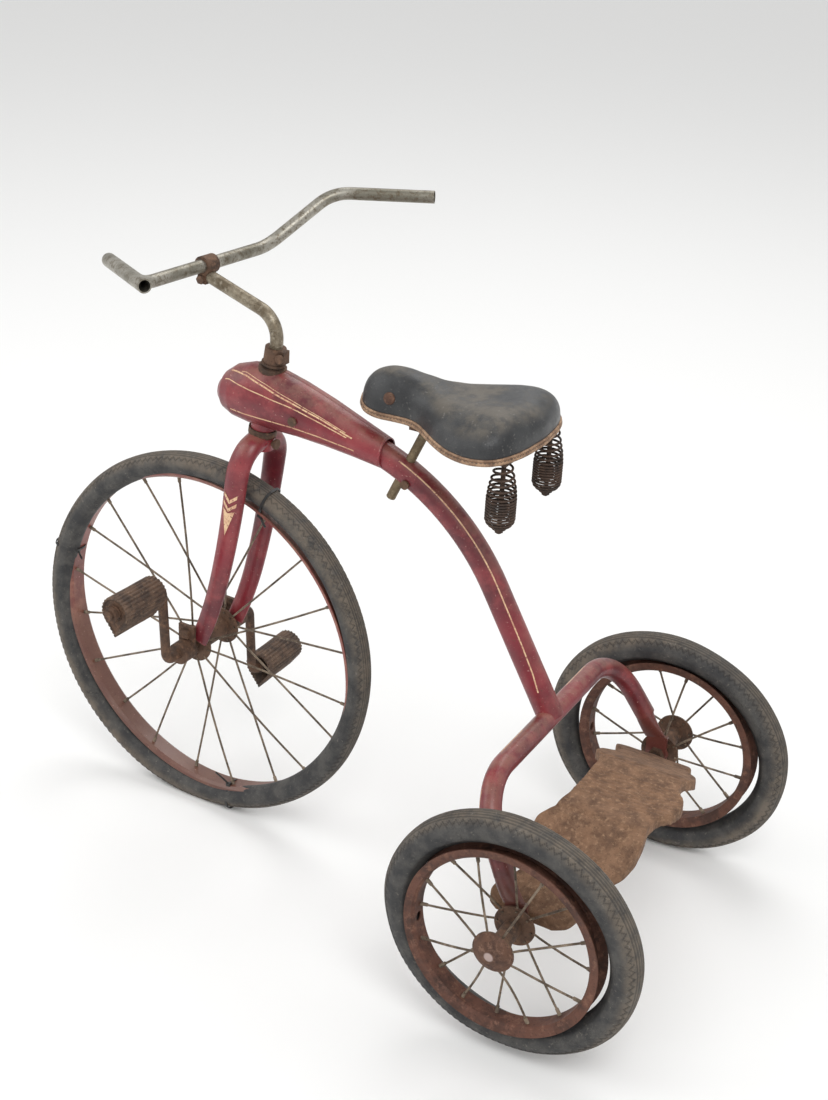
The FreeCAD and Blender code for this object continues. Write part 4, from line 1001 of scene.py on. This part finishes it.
def tube_line(table, width, sign):
    table = np.array(table, float)
    stations = np.linspace(table[0, 0], table[-1, 0], 120)
    centres, normals = [], []
    for s in stations:
        angle = math.radians(np.interp(s, table[:, 0], table[:, 1]))
        point, up = backbone(s)
        normal = np.array([up[0] * math.sin(angle), sign * math.cos(angle), up[1] * math.sin(angle)])
        centres.append(np.array([point[0], 0, point[1]]) + normal * 16)
        normals.append(normal)
    return ribbon(centres, normals, width, 0.25)


TUBE_LINE = [(190, 46), (320, 46), (445, 41), (485, 35), (508, 25)]
joined_piece("tube_lining", [tube_line(TUBE_LINE, 1.9, sign) for sign in (1, -1)], CREAM, "frame",
             "frame_paint")


def fork_leg_line(points, width):
    """Line on the rear fork from points and outward directions."""
    points = np.array(points, float)
    share = np.linspace(0, len(points) - 1, 60)
    index = np.arange(len(points))
    rows = np.stack([np.interp(share, index, points[:, k]) for k in range(6)], axis=1)
    for k in range(6):
        rows[:, k] = softened(rows[:, k], np.ones(9))
    normals = rows[:, 3:] / np.linalg.norm(rows[:, 3:], axis=1)[:, None]
    return rows[:, :3] + normals * 12.7, normals, width


leg_lines = []
for sign in (1, -1):
    leg_lines.append(fork_leg_line([(62, sign * 168, 284, 0.8, sign * 0.3, 0.5),
                                    (52, sign * 188, 262, 0.9, sign * 0.35, 0.2),
                                    (42, sign * 195, 245, 0.9, sign * 0.4, 0.1),
                                    (30, sign * 200, 226, 0.9, sign * 0.4, 0)], 1.5))
    leg_lines.append(fork_leg_line([(71, sign * y, 296, 0.55, 0, 0.83) for y in (60, 90, 118)], 1.3))
snap_lines("fork_lining", leg_lines, ["rear_fork_tube"], "frame")


# --- fork blades
# height, forward place, sideways place, half length and half thickness of the section
BLADE = np.array([(551, 481.5, 8, 15.5, 12.0), (545, 482.5, 24, 15.5, 11.5), (531, 485.0, 35, 15.5, 10.0),
                  (508, 489.0, 38.5, 15.5, 9.5), (455, 496.0, 38.5, 14.5, 9.0), (400, 505.5, 38.5, 13.5, 8.5),
                  (345, 517.5, 38.5, 12.8, 8.0), (300, 531.0, 38.5, 12.4, 6.5),
                  (266, 544.5, 38.8, 12.2, 3.4)])


def blade_frame(share, sign):
    """Centre and half sizes at a share of the blade's length."""
    height, forward, side, half_x, half_y = station(BLADE, share)
    return np.array([forward, sign * side, height]), half_x, half_y


def fork_placed(points):
    """Fork points turned with the steering."""
    return (points - STEER_POINT) @ FORK_TURN.T + STEER_POINT


def fork_blade(side, sign):
    """Pressed blade of flattened section, turned in under the crown."""
    shares = np.linspace(0, 1, 90)
    centres = np.array([blade_frame(s, sign)[0] for s in shares])
    run = np.gradient(centres, axis=0)
    run /= np.linalg.norm(run, axis=1)[:, None]
    angles = np.linspace(0, 2 * np.pi, 40, endpoint=False)
    rings, outs = [], []
    for s, centre, way in zip(shares, centres, run):
        half_x, half_y = blade_frame(s, sign)[1:]
        along = np.array([1.0, 0, 0]) - way * way[0]
        along /= np.linalg.norm(along)
        out = np.cross(way, along)
        out *= 1 if out[1] * sign > 0 or out[2] > 0.7 else -1
        outs.append((centre, along, out, half_x, half_y))
        rings.append(centre + np.outer(np.cos(angles) * half_x, along)
                     + np.outer(np.sin(angles) * half_y, out))
    points = np.vstack(rings)
    faces = grid_faces(len(rings), 40, close_columns=True)
    faces += [tuple(range(40))[::-1], tuple(range(len(points) - 40, len(points)))]
    piece("fork_blade_%s_skin" % side, fork_placed(points), faces, MAROON, "fork", "frame_paint",
          ["fork_blade_%s" % side])
    return outs


def chevrons(outs):
    """Two arrow marks above a long point on the outside of the left blade."""
    heights = np.array([o[0][2] for o in outs])
    order = np.argsort(heights)

    def at(height, k):
        return np.interp(height, heights[order], k[order])

    def spot(height, across):
        centre, along, out = (np.array([at(height, np.array([o[k][c] for o in outs])) for c in range(3)])
                              for k in range(3))
        half_x, half_y = (at(height, np.array([o[k] for o in outs])) for k in (3, 4))
        angle = math.acos(max(-0.95, min(0.95, across / half_x)))
        normal = along * math.cos(angle) / half_x + out * math.sin(angle) / half_y
        normal /= np.linalg.norm(normal)
        surface = centre + along * math.cos(angle) * half_x + out * math.sin(angle) * half_y
        return surface + normal * 0.45

    parts = []
    for top, thick, drop, half in ((491, 5.0, 9.0, 9.5), (480, 5.0, 9.0, 9.5), (469, 36.0, 0.0, 8.5)):
        across = np.linspace(-half, half, 13)
        if drop:
            upper = [spot(top - drop * (1 - abs(a) / half), a) for a in across]
            lower = [spot(top - thick - drop * (1 - abs(a) / half), a) for a in across]
        else:
            upper = [spot(top - 5.0 * (1 - abs(a) / half), a) for a in across]
            lower = [spot(top - thick * (1 - abs(a) / half) - 1.0, a * 0.98) for a in across]
        shares = np.linspace(0, 1, 7)
        points = np.vstack([np.array(upper) * (1 - share) + np.array(lower) * share for share in shares])
        parts.append((fork_placed(points), grid_faces(7, 13)))
    joined_piece("fork_chevrons", parts, CREAM, "fork", "frame_paint", smooth=False)


left_blade = fork_blade("left", 1)
fork_blade("right", -1)
chevrons(left_blade)


# --- camera, floor and light
CAMERA_PLACE = (-653.6, 1779.9, 1463.6)
CAMERA_ANGLES = (0.476, 0.464, 0.059)  # radians
SENSOR = 36.0
LENS = 61.5895
FLOOR_REACH = 60
LIT_POINT = (0, 0, 0.3)
# name, place, size and power
LIGHTS = [("key", (-1.6, 1.6, 3.0), 1.8, 42), ("fill", (2.4, 1.4, 2.2), 2.5, 26),
          ("top", (0.4, -1.8, 3.2), 2.2, 30)]


def camera():
    yaw, pitch, roll = CAMERA_ANGLES
    forward = np.array([math.sin(yaw) * math.cos(pitch), -math.cos(yaw) * math.cos(pitch), -math.sin(pitch)])
    right = np.cross(forward, (0, 0, 1))
    right /= np.linalg.norm(right)
    up = np.cross(right, forward)
    tilted_right = math.cos(roll) * right + math.sin(roll) * up
    tilted_up = -math.sin(roll) * right + math.cos(roll) * up
    data = bpy.data.cameras.new("camera")
    data.sensor_fit = "AUTO"
    data.sensor_width = SENSOR
    data.lens = LENS
    data.clip_end = 50
    obj = bpy.data.objects.new("camera", data)
    bpy.context.scene.collection.objects.link(obj)
    place = placed(CAMERA_PLACE)
    matrix = Matrix(np.column_stack([tilted_right, tilted_up, -forward]).tolist()).to_4x4()
    matrix.translation = Vector(place)
    obj.matrix_world = matrix
    bpy.context.scene.camera = obj


def area_light(name, place, size, power):
    data = bpy.data.lights.new(name, "AREA")
    data.shape = "DISK"
    data.size = size
    data.energy = power
    obj = bpy.data.objects.new(name, data)
    bpy.context.scene.collection.objects.link(obj)
    obj.location = place
    obj.rotation_euler = (Vector(LIT_POINT) - Vector(place)).to_track_quat("-Z", "Y").to_euler()


def surroundings():
    floor_material = Shader("pale_floor", roughness=0.7).finish(rgb(242, 242, 241))
    mesh = bpy.data.meshes.new("floor")
    corners = [(-1, -1), (1, -1), (1, 1), (-1, 1)]
    mesh.from_pydata([(x * FLOOR_REACH, y * FLOOR_REACH, 0) for x, y in corners], [], [(0, 1, 2, 3)])
    mesh.materials.append(floor_material)
    floor = bpy.data.objects.new("floor", mesh)
    bpy.context.scene.collection.objects.link(floor)
    world = bpy.data.worlds.new("studio")
    world.use_nodes = True
    background = world.node_tree.nodes["Background"]
    background.inputs["Color"].default_value = (1, 1, 1, 1)
    background.inputs["Strength"].default_value = 0.75
    bpy.context.scene.world = world
    for light in LIGHTS:
        area_light(*light)
    bpy.context.scene.view_settings.view_transform = "Standard"


camera()
surroundings()
